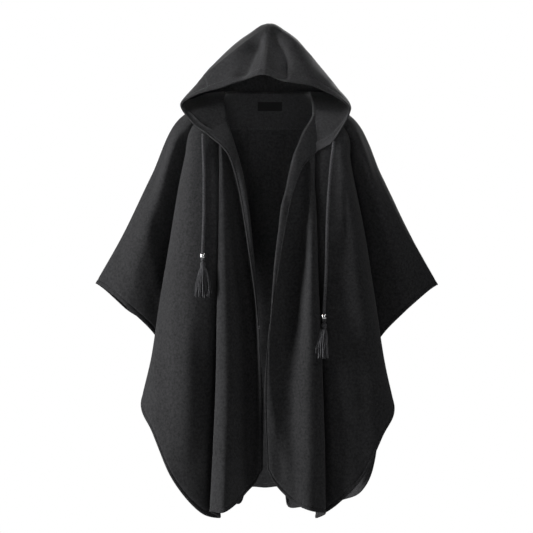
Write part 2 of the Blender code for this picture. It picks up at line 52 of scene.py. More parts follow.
# Cloth and trim, in millimetres.
CLOTH = 2.4            # wool melton
FACING_CLOTH = 1.2
CASING_CLOTH = 1.2
LABEL_CLOTH = 0.7
LAYER_GAP = 0.1        # between layers of cloth that lie on each other
FACING_SHARE = 0.125   # depth of the back neck facing as a share of the cape's length
CASING_WIDTH = 20.0
EDGE_STITCH = 6.0      # from the front edge to its row of stitches
HEM_STITCH = 11.0
STITCH_DEPTH = 0.9     # how far the stitches draw each face of the cloth in
STITCH_CHANNEL = 1.9   # half the width of the channel that they pull
EDGE_FULLNESS = 0.45   # of the turned cloth outside a row of stitches
PRESSED_SEAM = (3.0, 0.5)      # half the width and the depth of the line along a seam
HOOD_TOP_SEAM = (3.5, 0.8)
CASING_CHANNEL = (1.8, 0.6)
CASING_FULLNESS = 0.7
FACING_STITCH = 4.0
FACING_CHANNEL = (1.2, 0.35)
SEAM_REACH = 45.0      # from the neck seam, where the hood's edge is drawn to it
LABEL_SIZE = (58.0, 21.0)
LABEL_CENTRE = (7.0, -30.0)     # x and z on the back neck facing
LABEL_FOLD = (5.0, 0.5)         # width and fullness of its ends, folded under
CORD_DIAMETER = 8.0
BEAD_DIAMETER = 14.5
BEAD_HEIGHT = 10.5
BEAD_MOUTH = ((0.0, 0.72), (0.15, 0.93), (0.45, 1.0))   # out from the bore, and share of half the height
KNOT_DIAMETER = 11.0
KNOT_HEIGHT = 8.0
TASSEL_LENGTH = 85.0
TASSEL_DEPTH = 13.0
TASSEL_WIDTHS = {"right": 42.0, "left": 33.0}
BUNCH_WIDTH = 5.2        # the strands of a tassel hang in bunches
TASSEL_LEANS = {"right": (0.0, -7.0), "left": (-4.0, -16.0)}    # of the strands' ends, in x and y

# Mesh spacing.
CAPE_SPACING = 6.0
HOOD_SPACING = 3.2
BACK_SPACING = 6.8
FRONT_SPACING = 4.2      # across the fronts, where the lapels turn

# Distances from an edge at which the cloth has its own rows of points.
SEAM_ROWS = (0.0, 1.5, 4.0)
HEM_ROWS = (0.0, 1.5, 4.0, 9.0, HEM_STITCH - 1, HEM_STITCH, HEM_STITCH + 1, 13.5)
EDGE_ROWS = (0.0, 1.5, 3.5, EDGE_STITCH - 1, EDGE_STITCH, EDGE_STITCH + 1, 8.5)
CASING_ROWS = (0.0, 1.5, 4.0, 8.0, 12.0, 16.0, CASING_WIDTH - 1, CASING_WIDTH, CASING_WIDTH + 1, 24.0)
FACING_HEM_ROWS = (0.0, 1.0, 2.5, FACING_STITCH, 5.0, 6.5)

# The neck seam of one side, from the shoulder seam forward to the front neck
# point and back to the nape. The two fronts were drawn up unevenly.
NECK_FRONT_RIGHT = ((-100, 0, 0), (-103, -36, -20), (-98, -70, -56), (-110, -90, -86), (-145, -106, -97))
NECK_FRONT_LEFT = ((100, 0, 0), (104, -34, -12), (112, -66, -46), (112, -92, -100), (117, -112, -142))
NECK_BACK_RIGHT = ((-100, 0, 0), (-92, 32, 1), (-68, 57, 2), (-36, 71, 1), (0, 75, 0))
NECK_BACK_LEFT = ((100, 0, 0), (92, 32, 1), (68, 57, 2), (36, 71, 1), (0, 75, 0))

# A fold of the cape is one line of cloth from the neck seam to the hem: its
# share of the way along the neck seam, then the points that it hangs through.
Fold = namedtuple("Fold", "name seam shoulder upper middle lower hem")
STATIONS = (0.0, 0.1, 0.2, 0.45, 0.72, 1.0)

FRONT_RIGHT = (
    Fold("edge", 1.00, (-98, -138, -140), (-78, -150, -188), (-41, -166, -395),
         (-10, -162, -660), (-9, -156, -882)),
    Fold("roll", 0.62, (-78, -114, -122), (-59, -144, -190), (-32, -162, -398),
         (-17, -162, -665), (-22, -160, -908)),
    Fold("under_lapel", 0.55, (-90, -90, -122), (-74, -106, -192), (-39, -128, -400),
         (-31, -150, -672), (-46, -154, -937)),
    Fold("centre_valley", 0.48, (-98, -86, -122), (-86, -112, -192), (-68, -140, -402),
         (-66, -172, -682), (-74, -180, -966)),
    Fold("ridge_2_face", 0.42, (-106, -106, -118), (-102, -132, -186), (-98, -164, -402),
         (-98, -192, -692), (-104, -208, -984)),
    Fold("ridge_2_fold", 0.37, (-113, -100, -118), (-113, -128, -186), (-115, -156, -402),
         (-120, -176, -692), (-134, -182, -981)),
    Fold("valley_2", 0.32, (-110, -84, -116), (-107, -102, -188), (-106, -118, -402),
         (-107, -128, -692), (-109, -142, -998)),
    Fold("panel_inner", 0.27, (-122, -96, -112), (-120, -126, -180), (-121, -154, -396),
         (-130, -154, -690), (-152, -160, -987)),
    Fold("panel_middle", 0.22, (-154, -98, -102), (-160, -128, -170), (-176, -158, -384),
         (-194, -168, -672), (-220, -166, -910)),
    Fold("ridge_1_face", 0.17, (-170, -84, -92), (-182, -114, -162), (-212, -138, -374),
         (-246, -140, -640), (-268, -138, -800)),
    Fold("ridge_1_fold", 0.12, (-176, -62, -82), (-193, -84, -156), (-230, -98, -352),
         (-266, -100, -590), (-296, -96, -736)),
    Fold("valley_1", 0.08, (-164, -44, -68), (-180, -44, -130), (-203, -36, -292),
         (-226, -34, -458), (-250, -32, -600)),
    Fold("sleeve_face", 0.045, (-158, -34, -50), (-200, -54, -92), (-252, -66, -234),
         (-296, -66, -380), (-332, -48, -504)),
    Fold("overarm_front", 0.02, (-156, -20, -34), (-200, -28, -66), (-264, -34, -205),
         (-327, -33, -338), (-382, -24, -463)),
)
OVERARM_RIGHT = Fold("overarm", 0.0, (-154, 0, -28), (-202, 0, -56), (-273, 0, -195),
                     (-338, 0, -330), (-405, 0, -449))
BACK_RIGHT = (
    Fold("overarm_back", 0.04, (-150, 22, -32), (-196, 32, -62), (-263, 42, -202),
         (-326, 42, -336), (-386, 32, -463)),
    Fold("sleeve_back", 0.12, (-142, 46, -42), (-186, 66, -84), (-240, 84, -238),
         (-290, 86, -390), (-338, 72, -508)),
    Fold("sleeve_valley", 0.21, (-134, 62, -52), (-168, 86, -108), (-206, 98, -290),
         (-238, 96, -460), (-262, 82, -574)),
    Fold("ridge_1", 0.32, (-122, 76, -60), (-151, 104, -128), (-194, 140, -348),
         (-230, 158, -580), (-252, 152, -760)),
    Fold("valley_1", 0.44, (-104, 86, -64), (-124, 110, -138), (-152, 124, -376),
         (-172, 136, -645), (-194, 136, -888)),
    Fold("ridge_2", 0.56, (-82, 95, -66), (-98, 121, -140), (-118, 162, -388),
         (-134, 184, -680), (-146, 192, -948)),
    Fold("valley_2", 0.69, (-58, 101, -66), (-68, 122, -140), (-82, 140, -390),
         (-90, 152, -682), (-94, 154, -968)),
    Fold("ridge_3", 0.83, (-34, 105, -66), (-38, 128, -140), (-46, 160, -390),
         (-52, 176, -682), (-62, 184, -974)),
    Fold("pleat", 0.92, (-18, 106, -66), (-20, 127, -140), (-26, 150, -390),
         (-34, 162, -680), (-46, 164, -938)),
)
BACK_CENTRE = (
    Fold("centre", 1.00, (0, 106, -66), (0, 127, -140), (-2, 146, -388), (-4, 158, -675), (-4, 162, -937)),
)
BACK_LEFT = (
    Fold("pleat", 0.92, (18, 106, -66), (20, 127, -140), (26, 150, -390), (32, 162, -680), (38, 164, -938)),
    Fold("ridge_3", 0.83, (34, 105, -66), (38, 128, -140), (46, 160, -390),
         (52, 178, -684), (48, 186, -981)),
    Fold("valley_2", 0.69, (58, 101, -66), (68, 122, -140), (84, 140, -390),
         (96, 158, -684), (92, 172, -982)),
    Fold("ridge_2", 0.56, (82, 95, -66), (98, 121, -140), (120, 162, -388),
         (150, 182, -680), (184, 186, -966)),
    Fold("valley_1", 0.44, (104, 86, -64), (124, 110, -138), (152, 124, -376),
         (186, 136, -662), (229, 138, -941)),
    Fold("ridge_1", 0.32, (122, 76, -60), (151, 104, -128), (194, 140, -352),
         (234, 156, -622), (259, 146, -862)),
    Fold("sleeve_valley", 0.21, (134, 62, -52), (168, 86, -108), (206, 98, -290),
         (238, 96, -460), (262, 80, -574)),
    Fold("sleeve_back", 0.12, (142, 46, -42), (186, 66, -84), (240, 84, -238),
         (288, 86, -390), (330, 70, -514)),
    Fold("overarm_back", 0.04, (150, 22, -32), (196, 32, -62), (263, 42, -202),
         (326, 42, -338), (384, 32, -466)),
)
OVERARM_LEFT = Fold("overarm", 0.0, (154, 0, -28), (202, 0, -58), (272, 0, -197),
                    (338, 0, -334), (404, 0, -452))
FRONT_LEFT = (
    Fold("overarm_front", 0.02, (156, -20, -34), (200, -28, -68), (263, -34, -207),
         (326, -33, -342), (382, -24, -466)),
    Fold("sleeve_face", 0.045, (158, -34, -52), (200, -54, -94), (252, -66, -236),
         (296, -66, -384), (335, -48, -506)),
    Fold("valley_1", 0.08, (168, -46, -72), (182, -44, -132), (206, -36, -298),
         (230, -34, -466), (254, -32, -606)),
    Fold("ridge_1_fold", 0.12, (186, -64, -92), (196, -84, -158), (234, -98, -360),
         (271, -100, -604), (300, -96, -742)),
    Fold("ridge_1_face", 0.17, (176, -86, -100), (184, -116, -164), (214, -142, -378),
         (250, -142, -648), (272, -138, -806)),
    Fold("panel_middle", 0.22, (154, -94, -108), (160, -118, -172), (176, -147, -388),
         (202, -158, -672), (228, -164, -898)),
    Fold("panel_inner", 0.26, (126, -98, -116), (123, -124, -182), (127, -150, -398),
         (138, -160, -690), (164, -164, -966)),
    Fold("valley_2", 0.30, (112, -88, -120), (111, -104, -190), (113, -118, -402),
         (121, -128, -692), (116, -140, -998)),
    Fold("ridge_2_fold", 0.34, (110, -104, -122), (112, -128, -190), (119, -160, -402),
         (130, -176, -692), (138, -182, -986)),
    Fold("ridge_2_face", 0.38, (100, -110, -122), (101, -133, -192), (101, -174, -402),
         (100, -192, -692), (104, -204, -980)),
    Fold("centre_valley", 0.42, (94, -98, -124), (84, -122, -204), (70, -140, -404),
         (54, -174, -684), (66, -194, -964)),
    Fold("under_lapel", 0.46, (84, -100, -126), (62, -128, -208), (34, -154, -404),
         (24, -184, -674), (38, -190, -940)),
    Fold("roll", 0.50, (76, -116, -118), (50, -154, -205), (20, -178, -402),
         (6, -190, -668), (16, -188, -914)),
    Fold("edge", 1.00, (86, -140, -176), (66, -160, -222), (29, -180, -404),
         (-5, -190, -664), (2, -186, -884)),
)

# A rib of the hood runs from the neck seam, out over the shoulder, round the
# lobe and up to the centre seam. The first rib is the back seam and the last
# is the face edge. neck is its share of the way from front neck point to nape.
Rib = namedtuple("Rib", "name neck low lobe side cheek crown top")
HOOD_RIGHT = (
    Rib("back_seam", 1.00, (0, 104, 0), (0, 136, 6), (0, 150, 28),
        (0, 148, 58), (0, 136, 86), (0, 116, 108)),
    Rib("rear", 0.78, (-116, 62, 2), (-160, 78, -12), (-146, 84, 28),
        (-104, 86, 76), (-52, 86, 116), (4, 82, 134)),
    Rib("peak", 0.56, (-146, -4, -8), (-194, -6, -20), (-166, -10, 20),
        (-112, -14, 80), (-50, -18, 136), (6, -20, 164)),
    Rib("brow", 0.34, (-160, -72, -42), (-204, -52, -28), (-170, -66, 10),
        (-116, -80, 50), (-58, -90, 90), (-5, -96, 110)),
    Rib("face_edge", 0.00, (-177, -100, -72), (-203, -84, -30), (-164, -104, -3),
        (-106, -128, 12), (-62, -142, 28), (-12, -154, 41)),
)
HOOD_LEFT = (
    Rib("back_seam", 1.00, (0, 104, 0), (0, 136, 6), (0, 150, 28),
        (0, 148, 58), (0, 136, 86), (0, 116, 108)),
    Rib("rear", 0.78, (116, 62, 2), (158, 78, -12), (144, 84, 26),
        (104, 86, 74), (56, 86, 114), (4, 82, 134)),
    Rib("peak", 0.56, (144, -4, -8), (189, -6, -20), (160, -10, 18),
        (108, -14, 76), (60, -18, 130), (6, -20, 164)),
    Rib("brow", 0.34, (156, -72, -58), (197, -52, -36), (166, -66, 6),
        (116, -80, 46), (60, -90, 88), (-5, -96, 110)),
    Rib("face_edge", 0.00, (158, -106, -114), (195, -86, -46), (172, -102, -15),
        (112, -126, 12), (52, -144, 24), (-12, -154, 41)),
)

# A crease is a line of points, as seen from the front or from behind, in x and z, with
# half its width and its height out of the cloth. A trough has a height below 0.
Crease = namedtuple("Crease", "points half_width height")
CREASE_WAY = np.array((0.0, -0.75, 0.66))
HOOD_CREASES = (
    Crease(((-8, 136), (-50, 48)), 26, -14),
    Crease(((20, 112), (30, 34)), 17, -8),
    Crease(((40, 140), (70, 100), (96, 60), (112, 30)), 28, 11),
    Crease(((-20, 142), (-128, 50)), 13, 7),
)
# Sharper folds of the hood's front, each crisp along its line and with its own width
# towards its right and left as worn.
HoodFold = namedtuple("HoodFold", "points right_width left_width height")
HOOD_FOLDS = (
    HoodFold(((-2, 152), (-30, 134), (-59, 110), (-88, 84), (-113, 63), (-142, 38)), 4, 20, 8.0),
    HoodFold(((14, 150), (24, 134), (36, 112), (44, 92), (49, 72), (47, 50), (45, 34)), 25, 4, -14.0),
    HoodFold(((-6, 146), (-27, 101), (-48, 54), (-54, 34)), 30, 10, -11.0),
    HoodFold(((16, 156), (48, 136), (84, 104), (120, 70), (150, 38)), 10, 5, 3.0),
)

# Drawcord routes, from the casing to the bead.
CORD_RIGHT = (
    (-150, -109, -99), (-150, -111, -106), (-149.5, -116, -119), (-149, -122, -137), (-148, -130, -162),
    (-147, -139, -194), (-147, -148, -232), (-147, -154, -272), (-148, -158, -312), (-149, -162, -350),
    (-150, -163, -370), (-150, -163, -389),
)
CORD_LEFT = (
    (156.5, -109, -117.5), (156, -112, -125), (154.5, -118, -138), (152, -126, -157), (149, -138, -184),
    (146, -146, -220), (143, -151, -262), (141, -155, -308), (140, -158, -354), (139, -161, -400),
    (137, -165, -446), (134, -169, -494), (133, -170, -512), (133, -170, -531),
)

# Smaller creases of the cape.
FRONT_CREASES = (
    # the right sleeve and panel
    Crease(((-236, -110), (-330, -400)), 28, 1.6),
    Crease(((-262, -280), (-306, -480)), 20, -1.4),
    Crease(((-176, -420), (-196, -860)), 26, 2.4),
    Crease(((-154, -560), (-166, -900)), 20, -2.4),
    # the strip beside the right lapel
    Crease(((-84, -240), (-80, -500), (-76, -860)), 11, 2.2),
    Crease(((-48, -480), (-40, -880)), 16, -4),
    # the left sleeve and panel
    Crease(((238, -110), (332, -400)), 28, 1.6),
    Crease(((264, -280), (306, -480)), 20, -1.4),
    Crease(((216, -540), (226, -760), (232, -900)), 24, -4),
    # the strip beside the left lapel
    Crease(((26, -640), (34, -900)), 12, -2.5),
)
BACK_CREASES = (
    Crease(((-240, -110), (-340, -420)), 28, 1.8),
    Crease(((-196, -120), (-222, -300), (-250, -520)), 18, -9),
    Crease(((-174, -320), (-206, -760)), 20, 2.2),
    Crease(((-126, -180), (-150, -420), (-168, -820)), 14, -6),
    Crease(((-66, -170), (-80, -420), (-90, -900)), 12, -7),
    Crease(((-14, -200), (-18, -760)), 14, -3),
    # the inverted pleats that start under the facing
    Crease(((-54, -80), (-58, -420)), 8, -7),
    Crease(((-76, -90), (-84, -420)), 10, 8),
    Crease(((50, -80), (56, -420)), 8, -7),
    Crease(((72, -90), (80, -420)), 10, 8),
    Crease(((22, -420), (18, -880)), 16, 2),
    Crease(((68, -180), (84, -460), (94, -900)), 12, -7),
    Crease(((128, -190), (156, -480), (196, -860)), 15, -6),
    Crease(((176, -340), (226, -780)), 20, 2.2),
    Crease(((194, -120), (222, -310), (252, -520)), 18, -9),
    Crease(((240, -110), (342, -430)), 28, 1.8),
)
# Soft folds of the hood's sides.
HOOD_FINE_CREASES = (
    Crease(((60, 100), (150, 10)), 14, -1.8),
    Crease(((-70, 78), (-150, 8)), 14, -1.8),
    Crease(((-30, 100), (-92, 24)), 12, 1.6),
)

# Where creases begin and over how far they grow to their full height.
FROM_LAPEL = (12.0, 26.0)
FROM_SEAM = (0.0, 30.0)
FROM_NECK = (40.0, 80.0)
FROM_HOOD_TOP = (0.0, 12.0)
BRIM_CALM = 0.75         # how much less the broad folds lift the face edge
CRISPNESS = 0.12         # how round a sharp fold is at its line, as a share of its width
BRIM_SHARE = 0.15        # of a crease's height that reaches the face edge
SIDE_FADE = 40.0         # depth over which creases fade where the cloth turns to the side

# The drift of the cloth: long, shallow waves that no two folds share.
Drift = namedtuple("Drift", "across down height")
DRIFTS = (
    Drift(0.011, 0.0042, 0.8),
    Drift(0.019, -0.0051, 0.5),
    Drift(0.006, 0.0110, 0.5),
)
SWAY = 0.8               # how far a wave leans to and fro on its way down
SWAY_PITCH = 0.006


def smooth(knots, values, places):
    """Smooth curves through values at knots, read at places along the first axis."""
    knots = np.asarray(knots, float)
    values = np.asarray(values, float)
    slopes = np.gradient(values, knots, axis=0)
    places = np.asarray(places, float)
    span = np.clip(np.searchsorted(knots, places, side="right") - 1, 0, len(knots) - 2)
    width = knots[span + 1] - knots[span]
    t = (places - knots[span]) / width
    shape = (len(places),) + (1,) * (values.ndim - 1)
    t, width = t.reshape(shape), width.reshape(shape)
    return (
        (2 * t**3 - 3 * t**2 + 1) * values[span]
        + (t**3 - 2 * t**2 + t) * width * slopes[span]
        + (3 * t**2 - 2 * t**3) * values[span + 1]
        + (t**3 - t**2) * width * slopes[span + 1]
    )


def run_of(points):
    """Distance along a line of points, from its start to each point."""
    return np.concatenate(([0], np.cumsum(np.linalg.norm(np.diff(points, axis=0), axis=1))))


def run_along(points, shares):
    """Points at shares of the way along the smooth curve through points."""
    steps = np.linspace(0, len(points) - 1, 241)
    run = run_of(smooth(range(len(points)), points, steps))
    return smooth(range(len(points)), points, np.interp(np.asarray(shares) * run[-1], run, steps))


def unit(vectors):
    return vectors / np.maximum(np.linalg.norm(vectors, axis=-1, keepdims=True), 1e-12)


def grid_normals(grid):
    """Unit normals of a grid of points, facing the side that columns x rows turn to."""
    return unit(np.cross(np.gradient(grid, axis=0), np.gradient(grid, axis=1)))


def respaced(grid, axis, start=(), end=(), spacing=CAPE_SPACING):
    """The lines of a grid along axis, with points at set distances from their ends and even ones between."""
    lines = np.moveaxis(grid, axis, 0)
    runs = [run_of(lines[:, i]) for i in range(lines.shape[1])]
    longest = max(run[-1] for run in runs)
    first, last = (max(part) if len(part) else 0.0 for part in (start, end))
    steps = int(math.ceil((longest - first - last) / spacing))
    made = []
    for i, run in enumerate(runs):
        middle = np.linspace(first, run[-1] - last, steps + 1)
        places = np.concatenate((
            np.sort(start)[:-1] if len(start) else [],
            middle,
            (run[-1] - np.sort(end)[::-1])[1:] if len(end) else [],
        ))
        made.append(smooth(run, lines[:, i], places))
    return np.moveaxis(np.array(made), (0, 1), (1 - axis, axis))


def crease_distances(flat, line):
    """How far each point lies from a line of points, and its share of the way along it.

    Shares go on a little past both ends, by these parts of the first and last stretch.
    """
    before, past = -0.2, 1.4
    line = np.array(line, float)
    run = run_of(line)
    away = np.full(flat.shape[:-1], np.inf)
    share = np.zeros(flat.shape[:-1])
    for i, (start, end) in enumerate(zip(line, line[1:])):
        step = end - start
        part = ((flat - start) @ step) / (step @ step)
        gap = np.linalg.norm(flat - start - np.clip(part, 0, 1)[..., None] * step, axis=-1)
        lowest = 0.0 if i else before
        highest = 1.0 if i < len(line) - 2 else past
        along = (run[i] + np.clip(part, lowest, highest) * (run[i + 1] - run[i])) / run[-1]
        share = np.where(gap < away, along, share)
        away = np.minimum(gap, away)
    return away, share


def crease_heights(points, normals, table, front):
    """How far each point stands out from the creases near it, on the front or on the back.

    A crease fades over a quarter of its length at each end, and where the cloth turns away.
    """
    total = np.zeros(points.shape[:-1])
    for crease in table:
        away, share = crease_distances(points[..., (0, 2)], crease.points)
        fade = np.clip((share + 0.1) * 4, 0, 1) * np.clip((1.15 - share) * 4, 0, 1)
        total += crease.height * np.exp(-((away / crease.half_width) ** 2)) * fade
    side = -1 if front else 1
    reach = np.clip(side * points[..., 1] / SIDE_FADE, 0, 1)
    facing = np.clip((side * normals[..., 1] - 0.25) / 0.5, 0, 1)
    return total * reach * facing * facing * (3 - 2 * facing)


def distances(grid, axis):
    """Distance along each line of a grid from its first point."""
    steps = np.linalg.norm(np.diff(grid, axis=axis), axis=2)
    first = np.zeros_like(np.take(steps, [0], axis=axis))
    return np.cumsum(np.concatenate((first, steps), axis=axis), axis=axis)


def distances_back(grid, axis):
    """Distance along each line of a grid from its last point."""
    return np.flip(distances(np.flip(grid, axis), axis), axis)


def drift_heights(grid, seed):
    """Long shallow waves over a grid, from its own distances across and down."""
    draws = np.random.default_rng(seed)
    across, down = distances(grid, 0), distances(grid, 1)
    total = np.zeros(grid.shape[:2])
    for drift in DRIFTS:
        phase, bend = draws.uniform(0, math.tau, 2)
        sway = SWAY * np.sin(down * SWAY_PITCH + bend)
        turn = across * drift.across * math.pi + down * drift.down + phase + sway
        total += drift.height * np.sin(turn)
    return total


class Cape:
    """The whole cape as one smooth surface, round from front edge to front edge."""

    def __init__(self):
        sides = (
            (FRONT_RIGHT, NECK_FRONT_RIGHT),
            ((OVERARM_RIGHT,), NECK_FRONT_RIGHT),
            (BACK_RIGHT + BACK_CENTRE, NECK_BACK_RIGHT),
            (BACK_LEFT, NECK_BACK_LEFT),
            ((OVERARM_LEFT,), NECK_FRONT_LEFT),
            (FRONT_LEFT, NECK_FRONT_LEFT),
        )
        lines = []
        for folds, seam in sides:
            necks = run_along(seam, [fold.seam for fold in folds])
            lines += [[neck, *fold[2:]] for neck, fold in zip(necks, folds)]
        self.lines = np.array(lines, float)
        gaps = np.linalg.norm(np.diff(self.lines[:, 1:], axis=0), axis=2).mean(axis=1)
        self.knots = np.concatenate(([0], np.cumsum(np.sqrt(gaps))))
        self.right_seam = len(FRONT_RIGHT)
        self.left_seam = len(self.lines) - 1 - len(FRONT_LEFT)

    def surface(self, across, down):
        hanging = smooth(STATIONS, self.lines.transpose(1, 0, 2), down)
        return smooth(self.knots, hanging.transpose(1, 0, 2), across)

    def panel(self, first, last, spacing):
        """A grid of points from fold first to fold last, from the neck seam to the hem."""
        places = []
        for i in range(first, last):
            widest = np.linalg.norm(self.lines[i + 1] - self.lines[i], axis=1).max()
            steps = int(math.ceil(widest / spacing))
            places.append(np.linspace(self.knots[i], self.knots[i + 1], steps, endpoint=False))
        across = np.concatenate(places + [[self.knots[last]]])
        longest = max(run_of(line)[-1] for line in self.lines[first:last + 1])
        down = np.linspace(0, 1, int(math.ceil(longest / spacing)) + 1)
        return self.surface(across, down)


class Hood:
    """The whole hood as one smooth surface, from the right neck seam over the top to the left."""

    def __init__(self):
        right = self.ribs(HOOD_RIGHT, NECK_FRONT_RIGHT, NECK_BACK_RIGHT)
        left = self.ribs(HOOD_LEFT, NECK_FRONT_LEFT, NECK_BACK_LEFT)
        self.lines = np.concatenate((right, left[:, -2::-1]), axis=1)
        self.top = right.shape[1] - 1

    @staticmethod
    def ribs(rows, neck_front, neck_back):
        seam = np.array(neck_front[::-1] + neck_back[1:], float)
        necks = run_along(seam, [rib.neck for rib in rows])
        return np.array([[neck, *rib[2:]] for neck, rib in zip(necks, rows)], float)

    @staticmethod
    def sewn(grid, right):
        """The grid of one half, drawn to the cape's neck seam at its lower edge."""
        rows = HOOD_RIGHT if right else HOOD_LEFT
        fronts = NECK_FRONT_RIGHT if right else NECK_FRONT_LEFT
        backs = NECK_BACK_RIGHT if right else NECK_BACK_LEFT
        low = grid[:, 0] if right else grid[:, -1]
        along = np.linspace(0, len(rows) - 1, len(grid))
        shares = np.interp(along, range(len(rows)), [rib.neck for rib in rows])
        seam = run_along(np.array(fronts[::-1] + backs[1:], float), shares)
        climb = distances(grid, 1) if right else distances_back(grid, 1)
        return grid + np.exp(-((climb / SEAM_REACH) ** 2))[..., None] * (seam - low)[:, None]

    def surface(self, along, up):
        arched = smooth(range(self.lines.shape[1]), self.lines.transpose(1, 0, 2), up)
        points = smooth(range(len(self.lines)), arched.transpose(1, 0, 2), along)
        brim = np.clip(np.asarray(along) - (len(self.lines) - 2), 0, 1)[:, None, None]
        way = CREASE_WAY * np.where((0, 0, 1), 1 - BRIM_CALM * brim, 1)
        return points + hood_creases(points, HOOD_CREASES)[..., None] * way

    def half(self, right, spacing):
        """A grid of points of one half, from the back seam to the face edge and from neck seam to top."""
        longest = max(run_of(line)[-1] for line in self.lines) / 2
        ups = np.linspace(0, self.top, int(math.ceil(longest / spacing)) + 1)
        if not right:
            ups = 2 * self.top - ups[::-1]
        deepest = max(run_of(line)[-1] for line in self.lines.transpose(1, 0, 2))
        along = np.linspace(0, len(self.lines) - 1, int(math.ceil(deepest / spacing)) + 1)
        return self.sewn(self.surface(along, ups), right)


def hood_creases(points, table):
    """How far each point stands out, from the creases or folds near it on the front."""
    total = np.zeros(points.shape[:-1])
    flat = points[..., (0, 2)]
    for crease in table:
        away, share = crease_distances(flat, crease.points)
        if isinstance(crease, HoodFold):
            line = np.array(crease.points, float)[::-1]
            to_right = flat[..., 0] < np.interp(flat[..., 1], line[:, 1], line[:, 0])
            far = away / np.where(to_right, crease.right_width, crease.left_width)
            bump = np.exp(CRISPNESS - np.sqrt(far * far + CRISPNESS ** 2))
        else:
            far = away / crease.half_width
            bump = np.exp(-far * far)
        total += crease.height * bump * np.clip(share * 3 + 0.15, 0, 1)
    front = np.clip(0.5 - points[..., 1] / SIDE_FADE, 0, 1)
    return total * front * front * (3 - 2 * front)


# Meshes.

def build_mesh(name, points, groups, material):
    """A smooth object from points in millimetres and groups of faces, each with one number of corners."""
    mesh = bpy.data.meshes.new(name)
    corners = np.concatenate([group.ravel() for group in groups]).astype(np.int32)
    sizes = np.concatenate([np.full(len(group), group.shape[1]) for group in groups])
    mesh.vertices.add(len(points))
    mesh.vertices.foreach_set("co", (points * MM).astype(np.float32).ravel())
    mesh.loops.add(len(corners))
    mesh.loops.foreach_set("vertex_index", corners)
    mesh.polygons.add(len(sizes))
    starts = np.concatenate(([0], np.cumsum(sizes)[:-1])).astype(np.int32)
    mesh.polygons.foreach_set("loop_start", starts)
    mesh.update(calc_edges=True)
    mesh.validate()
    mesh.shade_smooth()
    mesh.materials.append(material)
    piece = bpy.data.objects.new(name, mesh)
    poncho.objects.link(piece)
    return piece


def dress(piece, slot, *nodes):
    """The piece rides with the garment and stands for its solids."""
    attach(piece, "root")
    if nodes:
        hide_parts(*nodes)
    return piece


def grid_faces(columns, rows, start=0, flipped=False):
    at = start + np.arange(columns * rows).reshape(columns, rows)
    quads = np.stack((at[:-1, :-1], at[1:, :-1], at[1:, 1:], at[:-1, 1:]), axis=-1).reshape(-1, 4)
    return quads[:, ::-1] if flipped else quads


def rim_of(shape):
    """Indices of a grid's rim, once round, and of the point inside each."""
    columns, rows = shape
    at = np.arange(columns * rows).reshape(columns, rows)
    rim = np.concatenate((at[:-1, 0], at[-1, :-1], at[:0:-1, -1], at[0, :0:-1]))
    inside = np.clip(rim // rows, 1, columns - 2) * rows + np.clip(rim % rows, 1, rows - 2)
    return rim, inside


def shell(name, outer, material, thickness=CLOTH, inner_relief=None, sewn_to=()):
    """Cloth between a grid of outer points and its inner face, with its edges rounded over.

    The edges in sewn_to reach over their seam, so that no light comes through it.
    """
    normals = grid_normals(outer)
    shape = outer.shape[:2]
    rim, inside = rim_of(shape)
    flat, ways = outer.reshape(-1, 3).copy(), normals.reshape(-1, 3)
    radius = thickness / 2
    out = flat[rim] - flat[inside]
    out -= (out * ways[rim]).sum(axis=1, keepdims=True) * ways[rim]
    out = unit(out)
    columns, rows = shape
    edges = {"start": rim // rows == 0, "end": rim // rows == columns - 1, "top": rim % rows == 0}
    edges["foot"] = rim % rows == rows - 1
    held = np.any([edges[edge] for edge in sewn_to], axis=0) if sewn_to else np.zeros(len(rim), bool)
    flat[rim] -= out * radius * ~held[:, None]
    inner = flat - ways * thickness
    if inner_relief is not None:
        inner = inner - ways * inner_relief.reshape(-1, 1)
    middle = (flat[rim] + inner[rim]) / 2
    rings = [middle + radius * (math.cos(a) * out + math.sin(a) * ways[rim]) for a in (0.8, 0.0, -0.8)]
    size = len(flat)
    points = np.concatenate([flat, inner, *rings])
    lines = [rim] + [2 * size + i * len(rim) + np.arange(len(rim)) for i in range(3)] + [rim + size]
    faces = [grid_faces(*shape), grid_faces(*shape, start=size, flipped=True)]
    for upper, lower in zip(lines, lines[1:]):
        faces.append(np.stack((np.roll(upper, -1), upper, lower, np.roll(lower, -1)), axis=-1))
    return build_mesh(name, points, [np.concatenate(faces)], material)


def tubes(name, paths, radii, sides, material, flatten=1.0, ups=None):
    """One object of closed tubes along several paths, each with a radius at every point."""
    points, walls, ends, count = [], [], [], 0
    turns = np.linspace(0, math.tau, sides, endpoint=False)
    for k, path in enumerate(paths):
        path = np.asarray(path, float)
        along = unit(np.gradient(path, axis=0))
        guide = ups[k] if ups is not None else side_way(along[0])
        out = unit(guide - (guide * along).sum(axis=1, keepdims=True) * along)
        side = np.cross(along, out)
        radius = np.broadcast_to(np.asarray(radii[k], float), (len(path),))[:, None, None]
        ring = (
            path[:, None]
            + radius * flatten * np.sin(turns)[None, :, None] * out[:, None]
            + radius * np.cos(turns)[None, :, None] * side[:, None]
        )
        points.append(ring.reshape(-1, 3))
        at = count + np.arange(len(path) * sides).reshape(len(path), sides)
        after = np.roll(at, -1, axis=1)
        walls.append(np.stack((at[:-1], after[:-1], after[1:], at[1:]), axis=-1).reshape(-1, 4))
        ends += [at[0, ::-1], at[-1]]
        count += len(path) * sides
    return build_mesh(name, np.concatenate(points), [np.concatenate(walls), np.array(ends)], material)


def side_way(along):
    """A direction square to a line."""
    guide = np.array((0.0, 0.0, 1.0)) if abs(along[2]) < 0.9 else np.array((0.0, 1.0, 0.0))
    return unit(np.cross(along, guide))


